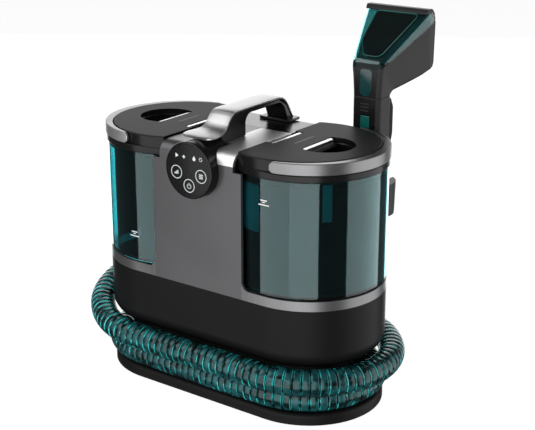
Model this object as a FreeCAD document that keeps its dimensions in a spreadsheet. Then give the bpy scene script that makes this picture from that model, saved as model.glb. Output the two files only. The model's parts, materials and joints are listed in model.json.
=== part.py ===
"""Portable carpet cleaner: two lift-out tanks on an oval base, a suction motor between them, and a hand tool on a hose.

The frame: +Z up, +X to the right of someone facing the control disc, the front is -Y. The origin is on the
surface that the machine stands on, under the middle of the oval body. Everything is in millimetres.
"""
import FreeCAD, Part
import Sketcher
import itertools
import math
import os
import re
from FreeCAD import Placement, Rotation, Vector

SIZES = {
    # oval body: two half circles and a straight stretch
    "body_radius": 86.5,
    "end_offset": 90.3,
    "foot_top": 4,
    "tray_bottom": 2,
    "tray_top": 15,
    "waist_radius": 57,
    "casing_bottom": 66,
    "casing_round": 20,
    "band_bottom": 137,
    "band_top": 148,
    "shell_wall": 3,
    "fit_gap": 0.3,
    # front panel and the column between the tanks
    "panel_half": 61,
    "panel_thick": 3.8,
    "panel_top": 278.5,
    "saddle_half": 50.4,
    "saddle_top": 298,
    "saddle_back": 22,
    "saddle_round": 15,
    "column_half": 50,
    "column_back": 84,
    # tanks and lids
    "tank_radius": 86,
    "tank_inner": 51.2,
    "tank_bottom": 149,
    "tank_wall": 2.5,
    "lid_bottom": 279.3,
    "lid_rim_top": 286.5,
    "lid_top": 300,
    "lid_rim_radius": 87.2,
    "lid_top_radius": 84.3,
    "lid_top_offset": 82.9,
    "trim_radius": 87.8,
    "trim_start": 97,
    "latch_half": 26,
    "recess_radius": 32,
    "recess_offset": 111,
    "recess_edge": 98,
    # control disc and handle
    "pod_radius": 31.7,
    "pod_height": 275,
    "pod_front": 98.6,
    "handle_half": 15,
    "handle_top": 330,
    # suction motor
    "motor_y": 10,
    "motor_radius": 44,
    "fan_radius": 39,
    "shaft_radius": 4,
    "running_gap": 0.05,
    # hose and hand tool
    "hose_diameter": 30,
    "tool_x": 100.2,
    "tool_y": 109,
    "grip_wide": 37,
    "grip_deep": 28,
    "grip_bottom": 216,
    "grip_top": 332,
    "cuff_bottom": 196.3,
    "head_half": 42,
}

doc = FreeCAD.newDocument("carpet_cleaner")
sheet = doc.addObject("Spreadsheet::Sheet", "Sizes")
for row, (alias, value) in enumerate(SIZES.items(), start=1):
    sheet.set(f"A{row}", alias)
    sheet.set(f"B{row}", str(value))
    sheet.setAlias(f"B{row}", alias)
doc.recompute()

nodes = {}


# ---------------------------------------------------------------- helpers

def size(alias):
    """A cell's number."""
    return float(sheet.get(alias))


def bind(thing, prop, value):
    """Tie a property to the sheet: value is a number, or a formula of cell names."""
    formula = re.sub(r"[a-z][a-z_]+", lambda word: "Sizes." + word[0], str(value))
    thing.setExpression(prop, formula)


def place(thing, x=0, y=0, z=0):
    for axis, value in zip("xyz", (x, y, z)):
        bind(thing, f"Placement.Base.{axis}", value)
    return thing


def box(x0, x1, y0, y1, z0, z1):
    block = doc.addObject("Part::Box", "block")
    bind(block, "Length", f"({x1}) - ({x0})")
    bind(block, "Width", f"({y1}) - ({y0})")
    bind(block, "Height", f"({z1}) - ({z0})")
    return place(block, x0, y0, z0)


TURNS = {
    "x": Rotation(Vector(0, 1, 0), 90),
    "y": Rotation(Vector(1, 0, 0), -90),
    "z": Rotation(),
}


def cylinder(x, y, z, radius, length, along="z"):
    """A cylinder that starts at the point and runs along a positive axis."""
    rod = doc.addObject("Part::Cylinder", "rod")
    bind(rod, "Radius", radius)
    bind(rod, "Height", length)
    rod.Placement = Placement(Vector(), TURNS[along])
    return place(rod, x, y, z)


def fuse(*things):
    joined = doc.addObject("Part::MultiFuse", "joined")
    joined.Shapes = list(things)
    joined.Refine = True
    return joined


def common(*things):
    shared = doc.addObject("Part::MultiCommon", "shared")
    shared.Shapes = list(things)
    shared.Refine = True
    return shared


def cut(base, *tools):
    hollow = doc.addObject("Part::Cut", "hollow")
    hollow.Base = base
    hollow.Tool = tools[0] if len(tools) == 1 else fuse(*tools)
    hollow.Refine = True
    return hollow


def rounded(base, radius, chosen):
    """Fillet the edges for which chosen(edge) is true."""
    doc.recompute()
    soft = doc.addObject("Part::Fillet", "soft")
    soft.Base = base
    edges = enumerate(base.Shape.Edges, start=1)
    soft.Edges = [(number, radius, radius) for number, edge in edges if chosen(edge)]
    return soft


def at_height(z):
    """Chooses the edges that lie flat at height z."""
    def chosen(edge):
        box = edge.BoundBox
        return abs(box.ZMin - z) < 1e-3 and abs(box.ZMax - z) < 1e-3
    return chosen


def oval(radius, z0, z1):
    """The body's plan, of this end radius, between two heights."""
    ends = [cylinder(x, 0, z0, radius, f"({z1}) - ({z0})") for x in ("-end_offset", "end_offset")]
    middle = box("-end_offset", "end_offset", f"-({radius})", radius, z0, z1)
    return fuse(middle, *ends)


def corner_arc(before, corner, after, radius):
    """The tangent arc that rounds a corner: its start, middle and end."""
    back = (before - corner).normalize()
    ahead = (after - corner).normalize()
    half = back.getAngle(ahead) / 2
    inward = (back + ahead).normalize()
    start = corner + back * (radius / math.tan(half))
    end = corner + ahead * (radius / math.tan(half))
    middle = corner + inward * (radius / math.sin(half) - radius)
    return start, middle, end


def outline_edges(corners):
    """Lines and tangent arcs round a closed outline whose corners are (u, v) or (u, v, radius)."""
    spots = [Vector(c[0], c[1], 0) for c in corners]
    radii = [c[2] if len(c) > 2 else 0 for c in corners]
    stretches = []
    for i, (spot, radius) in enumerate(zip(spots, radii)):
        if radius:
            stretches.append(corner_arc(spots[i - 1], spot, spots[(i + 1) % len(spots)], radius))
        else:
            stretches.append((spot, None, spot))
    edges = []
    for i, (start, middle, end) in enumerate(stretches):
        if middle is not None:
            edges.append(Part.Arc(start, middle, end))
        following = stretches[(i + 1) % len(stretches)][0]
        if end.distanceToPoint(following) > 1e-6:
            edges.append(Part.LineSegment(end, following))
    return edges


def pinned(sketch):
    """Join the ends of a sketch's neighbouring edges with coincident constraints."""
    ends = [(i, e, sketch.getPoint(i, e)) for i in range(sketch.GeometryCount) for e in (1, 2)]
    for (i, e, p), (j, g, q) in itertools.combinations(ends, 2):
        if i != j and p.distanceToPoint(q) < 1e-6:
            sketch.addConstraint(Sketcher.Constraint("Coincident", i, e, j, g))


def extruded(plane, corners, low, high):
    """A PartDesign body: a closed outline on an origin plane, padded from low to high along the plane's normal."""
    body = doc.addObject("PartDesign::Body", "profile")
    sketch = body.newObject("Sketcher::SketchObject", "outline")
    support = next(f for f in body.Origin.OriginFeatures if f.Role == plane)
    sketch.AttachmentSupport = (support, "")
    sketch.MapMode = "FlatFace"
    bind(sketch, "AttachmentOffset.Base.z", low)
    for edge in outline_edges(corners):
        sketch.addGeometry(edge)
    pinned(sketch)
    pad = body.newObject("PartDesign::Pad", "pad")
    pad.Profile = sketch
    bind(pad, "Length", f"({high}) - ({low})")
    return body


def side_profile(corners, half):
    """An outline of (y, z) corners, as wide as 2 x half about the middle plane."""
    return extruded("YZ_Plane", corners, f"-({half})", half)


def shaped(shape):
    """A feature whose shape is made with Part's own functions."""
    feature = doc.addObject("Part::Feature", "shaped")
    feature.Shape = shape
    feature.Placement = shape.Placement
    return feature


def mirrored(thing):
    """The same piece on the other side of the machine."""
    twin = doc.addObject("Part::Mirroring", "twin")
    twin.Source = thing
    twin.Normal = (1, 0, 0)
    return twin


def node(name, thing):
    """Name a finished piece."""
    thing.Label = name
    nodes[name] = thing
    return thing


# ---------------------------------------------------------------- base, casing, deck

SCREW_SPOTS = [(x, y) for x in (-118, 118) for y in (-26, 26)] + [(-52, 44), (52, -44)]


def make_base():
    """Rubber ring, tray with its waist, casing above the hose, and the screws that hold them together."""
    ring = cut(oval(80, 0, "foot_top"), oval(72, -1, "foot_top + 1"))
    node("foot_ring", ring)

    flange = rounded(oval("body_radius - 0.6", "tray_bottom", "tray_top"), 4.5, at_height(size("tray_top")))
    waist = oval("waist_radius", "tray_top - 2", "casing_bottom")
    groove = cut(oval(80.1, 0, "foot_top + 0.1"), oval(71.9, -1, "foot_top + 1"))
    cavity = oval("waist_radius - shell_wall", "tray_bottom + 4", "casing_bottom + 1")
    bosses = [cylinder(x, y, "tray_bottom + 3", 5.5, "casing_bottom - tray_bottom - 3") for x, y in SCREW_SPOTS]
    drills = [cylinder(x, y, 0, 2.1, 70) for x, y in SCREW_SPOTS]
    sinks = [cylinder(x, y, 0, 4.3, "tray_bottom + 3.4") for x, y in SCREW_SPOTS]
    port_hole = box(33.7, 42.3, 50, 60, 16.7, 45.3)
    wall = cut(fuse(flange, waist), groove, cavity, port_hole)
    node("base_tray", cut(fuse(wall, *bosses), *drills, *sinks))

    outside = rounded(oval("body_radius", "casing_bottom", "band_bottom"), size("casing_round"),
                      at_height(size("casing_bottom")))
    inside = rounded(oval("body_radius - shell_wall", "casing_bottom + shell_wall", "band_bottom + 5"),
                     size("casing_round") - size("shell_wall"),
                     at_height(size("casing_bottom") + size("shell_wall")))
    opening = oval("waist_radius - 9", "casing_bottom - 5", "casing_bottom + 10")
    stands = [cylinder(x, y, "casing_bottom", 6, 22) for x, y in SCREW_SPOTS]
    bridges = [box(min(x, x * 1.12), max(x, x * 1.12), min(y, y * 1.35), max(y, y * 1.35),
                   "casing_bottom", "casing_bottom + shell_wall") for x, y in SCREW_SPOTS]
    threads = [cylinder(x, y, "casing_bottom - 1", 1.95, 17) for x, y in SCREW_SPOTS]
    gland_hole = cylinder(-20, 70, 112, 9.1, 30, "y")
    shell = cut(outside, inside, opening)
    node("main_casing", cut(fuse(shell, *stands, *bridges), *threads, gland_hole))

    heads = [cylinder(x, y, "tray_bottom + 0.8", 3.9, 2.4) for x, y in SCREW_SPOTS]
    shanks = [cylinder(x, y, "tray_bottom + 2", 1.9, 76) for x, y in SCREW_SPOTS]
    screws = [fuse(head, shank) for head, shank in zip(heads, shanks)]
    doc.recompute()
    node("casing_screws", shaped(Part.makeCompound([screw.Shape for screw in screws])))

    sleeve = fuse(cylinder(-20, 80, 112, 9, 20, "y"), cylinder(-20, 86.7, 112, 12, 4, "y"))
    node("cord_gland", cut(sleeve, cylinder(-20, 70, 112, 4, 40, "y")))


def make_deck():
    """The floor under the tanks, with the outlet socket that opens the clean tank's valve."""
    plate = fuse(oval("body_radius - shell_wall - 0.2", "band_bottom - 4", "band_bottom"),
                 oval("body_radius - 5.2", "band_bottom - 1", "band_top - 0.3"))
    under = oval("body_radius - 8.5", "band_bottom - 6", "band_top - 5")
    air_way = cylinder(0, "motor_y", "band_bottom", 30, 20)
    socket_hole = cylinder(105, 20, "band_bottom", 12.1, 20)
    node("tank_deck", cut(plate, under, air_way, socket_hole))

    cup = fuse(cylinder(105, 20, "band_bottom - 5", 12, 15.6), cylinder(105, 20, "band_bottom - 1", 14, 6.8))
    bore = cylinder(105, 20, "band_bottom - 2", 8, 20)
    spout = cylinder(105, 20, "band_bottom - 17", 5, 13)
    way_out = cylinder(105, 20, "band_bottom - 20", 3, 30)
    pin = fuse(cylinder(105, 20, "band_bottom - 2", 1.5, 9.4), box(104.2, 105.8, 12.6, 27.4, "band_bottom - 2.5", 138))
    node("valve_socket", fuse(cut(fuse(cup, spout), bore, way_out), pin))


def make_bezel():
    """Silver band round the body, in one piece with the front panel and the saddle over the column."""
    half = size("panel_half")
    front = size("body_radius")
    thick = size("panel_thick")
    band = cut(oval("body_radius", "band_bottom", "band_top"),
               oval("body_radius - 5", "band_bottom - 1", "band_top + 1"))
    low = size("band_top")
    panel = extruded("XZ_Plane", [
        (-half - 18, low - 4), (-half - 18, low), (-half, low, 10), (-half, size("panel_top")),
        (half, size("panel_top")), (half, low, 10), (half + 18, low), (half + 18, low - 4),
    ], "body_radius - panel_thick", "body_radius")
    top = size("saddle_top")
    bend = size("saddle_round")
    saddle = side_profile([
        (-front, 262), (-front, top, bend), (size("saddle_back"), top), (size("saddle_back"), top - 3.5),
        (-front + thick, top - 3.5, bend - thick), (-front + thick, 262),
    ], "saddle_half")
    pod_hole = cylinder(0, -120, "pod_height", "pod_radius + fit_gap", 70, "y")
    node("silver_bezel", cut(fuse(band, panel, saddle), pod_hole))


def make_column():
    """Black housing between the tanks, open below to the deck."""
    back = size("column_back")
    step = size("saddle_back") + 0.3
    top = size("saddle_top")
    front = -size("body_radius") + size("panel_thick") + 0.2
    outer = side_profile([
        (front, size("band_top")), (front, top - 3.7, 10.8), (step, top - 3.7), (step, top),
        (back, top, 12), (back, size("band_top")),
    ], "column_half")
    inner = side_profile([
        (front + 3, 140), (front + 3, top - 6.7, 8), (step + 3, top - 6.7), (step + 3, top - 3),
        (back - 3, top - 3, 9), (back - 3, 140),
    ], "column_half - 3")
    pod_hole = cylinder(0, -120, "pod_height", "pod_radius + fit_gap", 64, "y")
    grille_hole = box(-32, 32, 70, 90, 176, 246)
    duct_hole = cylinder(-60, "motor_y", 272, 9, 20, "x")
    screw_holes = [cylinder(x, 70, 285, 1.45, 20) for x in (-17.8, 17.8)]
    node("column_shell", cut(outer, inner, pod_hole, grille_hole, duct_hole, *screw_holes))

    frame = box(-36, 36, "column_back + 0.1", "column_back + 2.6", 172, 250)
    inset = box(-31.7, 31.7, "column_back - 3", "column_back + 1", 176.3, 245.7)
    slots = [box(-28, 28, 70, 95, 180 + 8 * i, 184 + 8 * i) for i in range(8)]
    node("exhaust_grille", cut(fuse(frame, inset), *slots))
    node("exhaust_filter", box(-31, 31, "column_back - 9", "column_back - 3.2", 177, 245))


# ---------------------------------------------------------------- control disc and handle

def make_pod():
    """Round control housing with a glass touch face and its board."""
    body = rounded(cylinder(0, "-pod_front", "pod_height", "pod_radius", "pod_front - 58.3", "y"), 2,
                   lambda edge: edge.BoundBox.YMax < -size("pod_front") + 0.01)
    face = cylinder(0, "-pod_front - 1", "pod_height", 29.2, 3.4, "y")
    board_room = cylinder(0, "-pod_front + 1", "pod_height", 27, 24, "y")
    node("pod_housing", cut(body, face, board_room))
    node("pod_glass", cylinder(0, "-pod_front - 0.2", "pod_height", 29, 2.4, "y"))
    node("touch_board", cylinder(0, "-pod_front + 4", "pod_height", 26.4, 1.6, "y"))


def make_handle():
    """Carrying handle: a black core on the column and a silver skin on top, with the front lip over the disc."""
    base = size("saddle_top") + 0.2
    top = size("handle_top")
    core = side_profile([
        (-58, base), (-58, 307), (-50, 311, 4), (-43, 322, 5), (-33, top - 3, 10), (47, top - 3, 10),
        (63, 318, 8), (76, base), (66, base), (58.5, 316, 6), (52, 323, 5), (-15, 323, 9), (-15, base),
    ], "handle_half - 0.6")
    foot = box(-21.5, 21.5, 58, 82, base, base + 3)
    screw_spots = [(-17.8, 70), (17.8, 70)]
    drills = [cylinder(x, y, 285, 1.5, 20) for x, y in screw_spots]
    sinks = [cylinder(x, y, base + 1.2, 2.8, 5) for x, y in screw_spots]
    node("handle_core", cut(fuse(core, foot), *drills, *sinks))
    skin = side_profile([
        (-60, 307.4), (-60, 311.5), (-53.5, 313.5, 4), (-46, 323, 5), (-34, top, 10), (49, top, 11),
        (66, 319.5, 8), (77.5, base + 3.3), (76.2, base + 3.3), (63.3, 318.3, 8.2), (47, top - 2.8, 10),
        (-33, top - 2.8, 10), (-43.2, 322.3, 5), (-50.2, 311.4, 4), (-58.2, 307.4),
    ], "handle_half")
    lip = extruded("XY_Plane", [
        (-15, -58.3), (-22, -69, 8), (-20, -86, 6), (20, -86, 6), (22, -69, 8), (15, -58.3),
    ], 307.2, 311.5)
    node("handle_skin", fuse(skin, lip))
    screws = [fuse(cylinder(x, y, base + 1.3, 2.6, 1.5), cylinder(x, y, 290, 1.4, base + 2 - 290))
              for x, y in screw_spots]
    doc.recompute()
    node("handle_screws", shaped(Part.makeCompound([screw.Shape for screw in screws])))


# ---------------------------------------------------------------- tanks and lids

def tank_plan(offset, radius, inner, z0, z1):
    """A circle about (offset, 0) cut flat on the side next to the column."""
    return common(cylinder(offset, 0, z0, radius, f"({z1}) - ({z0})"), box(inner, 200, -100, 100, z0, z1))


def tank_shell(extra_holes):
    outside = tank_plan("end_offset", "tank_radius", "tank_inner", "tank_bottom", "lid_bottom - fit_gap")
    inside = tank_plan("end_offset", "tank_radius - tank_wall", "tank_inner + tank_wall",
                       "tank_bottom + 3", "lid_bottom + 5")
    return cut(rounded(outside, 2, at_height(size("tank_bottom"))), inside, *extra_holes)


def make_lid(side, side_of):
    """Lid, its silver trim, grip bar, seal and latch bar; side_of mirrors them for the left tank."""
    rim = cylinder("end_offset", 0, "lid_bottom", "lid_rim_radius", "lid_rim_top - lid_bottom")
    upper = rounded(cylinder("lid_top_offset", 0, "lid_bottom", "lid_top_radius", "lid_top - lid_bottom"), 1.2,
                    at_height(size("lid_top")))
    block = common(fuse(rim, upper), box("tank_inner + 0.1", 200, -100, 100, 270, 310))
    recess = common(cylinder("recess_offset", 0, "lid_top - 13", "recess_radius", 20),
                    box("recess_edge", 200, -40, 40, 280, 310))
    notch = box("tank_inner - 1", 62.6, "-latch_half - 2", "latch_half + 2", "lid_top - 12", 310)
    hollow = cut(tank_plan(88, 79.5, "tank_inner + 4", "lid_bottom - 1", "lid_top - 3.5"),
                 box("recess_edge - 4", 147, -36, 36, 270, 310), box(50, 66, -31, 31, 270, 310))
    node(side + "_lid", side_of(cut(block, recess, notch, hollow)))

    ring = cut(cylinder("end_offset", 0, "lid_rim_top + 0.3", "trim_radius", "lid_top - 0.8 - lid_rim_top"),
               cylinder("lid_top_offset", 0, 280, "lid_top_radius + 0.7", 30))
    height = size("lid_top") - 0.5 - size("lid_rim_top") - 0.3
    middle = size("lid_rim_top") + 0.3 + height / 2
    reach = fuse(box("trim_start + 6.2", 200, -100, 100, 280, 310),
                 *[cylinder("trim_start + 6.2", y, middle, height / 2, 40, "y") for y in (-100, 60)])
    node(side + "_lid_trim", side_of(common(ring, reach)))

    bar = extruded("XZ_Plane", [(98.2, 299.6), (108.6, 294.2), (108.6, 290.6), (98.2, 294.6)], -27, 27)
    node(side + "_grip_bar", side_of(bar))

    seal = cut(tank_plan("end_offset", "tank_radius - tank_wall - 0.3", "tank_inner + tank_wall + 0.3",
                         "lid_bottom - 5", "lid_bottom"),
               tank_plan("end_offset", "tank_radius - tank_wall - 4.3", "tank_inner + tank_wall + 4.3",
                         "lid_bottom - 6", "lid_bottom + 1"))
    node(side + "_lid_seal", side_of(seal))

    latch = fuse(box(57.2, 62.3, "-latch_half", "latch_half", "lid_top - 8", "lid_top - 0.4"),
                 box(51.6, 58, "-latch_half + 8", "latch_half - 8", "lid_top - 8", "lid_top - 5"))
    node(side + "_latch", side_of(latch))


def make_clean_tank():
    """Clear tank on the right, with a sprung outlet valve in its floor and a strainer over the valve."""
    node("clean_tank_shell", tank_shell([cylinder(105, 20, 140, 3.3, 20)]))
    cage = cut(cylinder(105, 20, "tank_bottom + 3", 13, 34), cylinder(105, 20, 150, 11, 32),
               *[box(90, 120, 20 - 1.2, 20 + 1.2, 158 + 5 * i, 160 + 5 * i) for i in range(4)],
               *[box(105 - 1.2, 105 + 1.2, 0, 40, 158 + 5 * i, 160 + 5 * i) for i in range(4)])
    tube = cut(cylinder(105, 20, "tank_bottom + 36.5", 7, 66), cylinder(105, 20, 183, 5, 75))
    node("clean_strainer", fuse(cage, tube))
    node("clean_valve", fuse(cylinder(105, 20, "tank_bottom + 3.2", 8, 3), cylinder(105, 20, 147.6, 3.2, 6)))
    coil = Part.makeHelix(4, 24, 6)
    coil.translate(Vector(105, 20, 156))
    wire = Part.Wire(Part.Circle(Vector(111, 20, 156), Vector(0, 1, 0), 0.6).toShape())
    node("valve_spring", shaped(Part.Wire(coil.Edges).makePipeShell([wire], True, True)))


def make_dirty_tank():
    """Tinted tank on the left, with a separator tower that carries the float."""
    shell = tank_shell([cylinder(40, "-motor_y * -1", 272, 9, 20, "x")])
    node("dirty_tank_shell", mirrored(shell))
    tower = cut(box(-98, -66, -52, -20, "tank_bottom + 3", 268), box(-95.5, -68.5, -49.5, -22.5, 155, 266))
    mouth = box(-90, -74, -60, -40, 238, 262)
    node("separator", cut(tower, mouth))
    cage = cut(cylinder(-112, 24, 214, 18, 54), cylinder(-112, 24, 216.5, 15.6, 60))
    windows = [box(-114, -110, 0, 48, 222, 258), box(-136, -88, 22, 26, 222, 258)]
    arm = box(-97, -93, -19.8, 24, 262, 266)
    node("float_cage", fuse(cut(cage, *windows), cut(arm, cylinder(-112, 24, 216.5, 15.6, 60))))
    node("float_ball", rounded(cylinder(-112, 24, 217, 15, 22), 4, lambda edge: edge.Length > 80))


# ---------------------------------------------------------------- suction motor, pump, boards

def make_motor():
    """Suction motor upright in the column: case, stator, bearings, and the shaft with its fan."""
    y = "motor_y"
    case = cut(cylinder(0, y, 160, "motor_radius", 98), cylinder(0, y, 163, "motor_radius - 2.5", 92.5),
               cylinder(0, y, 250, 17, 20), cylinder(0, y, 150, 9.05, 20),
               *[box(26 * math.cos(a) - 5, 26 * math.cos(a) + 5, 5 + 26 * math.sin(a), 15 + 26 * math.sin(a), 150, 170)
                 for a in (math.pi / 4, 3 * math.pi / 4, 5 * math.pi / 4, 7 * math.pi / 4)])
    node("motor_case", case)
    plate = cut(cylinder(0, y, 220, "motor_radius - 2.6", 7), cylinder(0, y, 219, 9.05, 9),
                *[cylinder(30 * math.cos(a), 10 + 30 * math.sin(a), 215, 7, 20)
                  for a in (0, math.pi / 2, math.pi, 3 * math.pi / 2)])
    node("motor_plate", plate)
    node("motor_stator", cut(cylinder(0, y, 174, 32, 38), cylinder(0, y, 170, 17, 50)))
    lower = cut(cylinder(0, y, 160, 9, 7), cylinder(0, y, 155, "shaft_radius + running_gap", 20))
    upper = cut(cylinder(0, y, 220, 9, 7), cylinder(0, y, 215, "shaft_radius + running_gap", 20))
    doc.recompute()
    node("motor_bearings", shaped(Part.makeCompound([lower.Shape, upper.Shape])))
    feet = [cut(cylinder(0, y, z, "motor_radius", 12), cylinder(0, y, z - 1, 33, 14)) for z in (147.9, 258.1)]
    doc.recompute()
    node("motor_mounts", shaped(Part.makeCompound([foot.Shape for foot in feet])))
    blades = []
    for i in range(9):
        blade = Part.makeBox(27, 1.6, 13, Vector(10, -0.8, 0))
        blade.rotate(Vector(10, 0, 0), Vector(0, 0, 1), 35)
        blade.rotate(Vector(), Vector(0, 0, 1), 40 * i)
        blades.append(blade.translate(Vector(0, size("motor_y"), 234)))
    hub = fuse(cylinder(0, y, 158, "shaft_radius", 90), cylinder(0, y, 176, 16, 34),
               cylinder(0, y, 232, "fan_radius", 2.4), cylinder(0, y, 233, 12, 14))
    cover = cut(cylinder(0, y, 246.5, "fan_radius", 1.6), cylinder(0, y, 245, 17, 5))
    node("fan_rotor", fuse(hub, cover, *[shaped(blade) for blade in blades]))
    duct = cut(fuse(box(-46.4, 24, -14, 34, 270.4, 286), cylinder(0, y, 262, 15, 10)),
               box(-43, 21, -11, 31, 272.6, 284), cylinder(0, y, 260, 12.5, 14),
               cylinder(-60, y, 272 + 6, 4.8, 20, "x"))
    node("air_duct", duct)
    node("port_seal", cut(cylinder(-50.9, y, 272, 10.6, 0.8, "x"), cylinder(-60, y, 272, 8.5, 20, "x")))


def make_pump():
    """Solenoid water pump, its plunger and spring, the tubes, and the main board in the lower casing."""
    coil = fuse(box(50, 84, -18, 16, 84, 122), cylinder(67, -1, 74, 9, 56))
    bore = cylinder(67, -1, 80, 5.05, 45)
    way = cylinder(67, -1, 70, 2.5, 70)
    base = box(46, 88, -22, 20, 69.4, 76)
    node("water_pump", cut(fuse(coil, base), bore, way))
    node("pump_plunger", cut(cylinder(67, -1, 94.4, 5, 22), cylinder(67, -1, 94, 1.6, 30)))
    helix = Part.makeHelix(4, 12, 3.9)
    helix.translate(Vector(67, -1, 81.5))
    wire = Part.Wire(Part.Circle(Vector(70.9, -1, 81.5), Vector(0, 1, 0), 0.6).toShape())
    node("pump_spring", shaped(Part.Wire(helix.Edges).makePipeShell([wire], True, True)))

    board = fuse(box(-112, -28, -34, 34, 92, 93.6), box(-100, -76, -24, 2, 93.6, 112),
                 cylinder(-48, 14, 93.6, 9, 22), cylinder(-48, -12, 93.6, 7, 18), box(-80, -62, 12, 28, 93.6, 104))
    legs = [cylinder(x, y, 68.9, 3, 23.1) for x in (-108, -32) for y in (-30, 30)]
    node("power_board", fuse(board, *legs))

    supply = tube([(105, 20, 119.8), (105, 20, 108), (96, 10, 66), (67, -1, 50), (67, -1, 69.2)], 3.4)
    node("supply_tube", supply)


def rounded_path(points):
    """Straight runs joined by tangent arcs. Each arc's radius is 0.45 of its shorter run over the tangent of half the turn."""
    spots = [Vector(*p) for p in points]
    edges = []
    radii = []
    start = spots[0]
    for before, corner, after in zip(spots, spots[1:], spots[2:]):
        turn = (corner - before).getAngle(after - corner)
        shorter = min(before.distanceToPoint(corner), corner.distanceToPoint(after))
        radius = 0.45 * shorter / math.tan(turn / 2)
        first, middle, last = corner_arc(before, corner, after, radius)
        edges += [Part.LineSegment(start, first).toShape(), Part.Arc(first, middle, last).toShape()]
        radii.append(radius)
        start = last
    edges.append(Part.LineSegment(start, spots[-1]).toShape())
    return Part.Wire(edges), radii


def tube(points, radius):
    """A round tube along a route, with its volume checked against section times length."""
    path, radii = rounded_path(points)
    first = Vector(*points[0])
    section = Part.Wire(Part.Circle(first, Vector(*points[1]) - first, radius).toShape())
    shape = path.makePipeShell([section], True, True)
    expected = math.pi * radius ** 2 * path.Length
    if abs(shape.Volume / expected - 1) > 0.01:
        raise RuntimeError(f"tube volume {shape.Volume:.0f}, expected {expected:.0f}")
    print(f"tube of diameter {2 * radius:g}: length {path.Length:.0f}, arc radii",
          " ".join(f"{r:.0f}" for r in radii))
    return shaped(shape)


# ---------------------------------------------------------------- hose

def end_point(side, radius, angle, z):
    """A point of the route round an end of the body; angle is from the +X or -X axis towards the back."""
    reach = radius / math.cos(math.radians(22.5))
    turn = math.radians(angle)
    return side * (size("end_offset") + reach * math.cos(turn)), reach * math.sin(turn), z


HOSE_ROUTE = [
    (60, 76, 31),
    # the lower wrap: right end, front, left end
    end_point(1, 76, 67.5, 31),
    end_point(1, 75, 22.5, 31),
    end_point(1, 75, -22.5, 31),
    end_point(1, 76.5, -67.5, 31),
    (41, -79.5, 31),
    (-41, -79, 31.5),
    end_point(-1, 77.5, -67.5, 31),
    end_point(-1, 77.5, -22.5, 31),
    end_point(-1, 77.5, 22.5, 32),
    end_point(-1, 79, 67.5, 34),
    # behind, rising to the upper wrap
    (-41, 89, 43),
    (41, 97, 60),
    end_point(1, 95.5, 67.5, 60),
    end_point(1, 94.5, 22.5, 57),
    end_point(1, 94.5, -22.5, 57.5),
    end_point(1, 96, -67.5, 59),
    (43, -98.5, 60.5),
    (-43, -98, 60.5),
    end_point(-1, 97.5, -67.5, 62),
    end_point(-1, 101.5, -22.5, 76),
    end_point(-1, 103.5, 22.5, 92),
    end_point(-1, 106, 67.5, 97),
    # behind again, and up into the tool's cuff
    (-60, 117, 90),
    (-12, 124, 84),
    (35.9, 126, 82.4),
    (77.5, 119, 106.4),
    (100.2, 109, 148),
    (100.2, 109, 196),
]


def make_hose():
    """The suction hose and the elbow that it leaves the waist by."""
    node("hose", tube(HOSE_ROUTE, size("hose_diameter") / 2))
    x, y, z = HOSE_ROUTE[0]
    spigot = fuse(cylinder(36, y, z, 15.7, x - 36, "x"), box(34, 42, 52, y + 5, 17, 45))
    way = fuse(cylinder(37, y, z, 13, 30, "x"), box(37, 40, 48, y, 20, 42))
    node("hose_port", cut(spigot, way))


# ---------------------------------------------------------------- hand tool and its dock

def grip_plan(grow, z0, z1):
    """The handle's rounded cross-section, widened by grow, between two heights."""
    half_x = size("grip_wide") / 2 + grow
    half_y = size("grip_deep") / 2 + grow
    x, y = size("tool_x"), size("tool_y")
    corner = 7 + grow
    return extruded("XY_Plane", [
        (x - half_x, y - half_y, corner), (x + half_x, y - half_y, corner),
        (x + half_x, y + half_y, corner), (x - half_x, y + half_y, corner),
    ], z0, z1)


def make_dock():
    """Bracket on the back of the column that the tool stands in, open behind for the hose."""
    cone = doc.addObject("Part::Cone", "cone")
    cone.Radius1 = 29.5
    cone.Radius2 = 30.5
    cone.Height = 38.5
    place(cone, "tool_x", "tool_y", 193.5)
    arm = box(6, 104, 87, 94, 196, 232)
    pad = box(8, 46, "column_back + 0.1", 90, 200, 228)
    keep = box(0, 150, 87, 150, 180, 240)
    socket = fuse(grip_plan(0.5, 195.9, 240), cylinder("tool_x", "tool_y", 195.9, 17.3, 50))
    floor_hole = cylinder("tool_x", "tool_y", 180, 15.8, 30)
    slot = box("tool_x - 15.8", "tool_x + 15.8", "tool_y", 150, 180, 240)
    grille_room = box(0, 36.5, 80, 95, 171, 251)
    node("tool_dock", cut(fuse(common(cone, keep), cut(arm, grille_room), cut(pad, grille_room)),
                          socket, floor_hole, slot))


def section(corners_yz, half, corner):
    """A rounded rectangle across the tool, between a front-top point and a back-bottom point in the middle plane."""
    (y0, z0), (y1, z1) = corners_yz
    x = size("tool_x")
    a, b = Vector(x - half, y0, z0), Vector(x + half, y0, z0)
    c, d = Vector(x + half, y1, z1), Vector(x - half, y1, z1)
    edges = []
    ring = [a, b, c, d]
    arcs = [corner_arc(ring[i - 1], ring[i], ring[(i + 1) % 4], corner) for i in range(4)]
    for i, (start, middle, end) in enumerate(arcs):
        edges.append(Part.Arc(start, middle, end).toShape())
        edges.append(Part.LineSegment(end, arcs[(i + 1) % 4][0]).toShape())
    return Part.Wire(edges)


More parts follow.
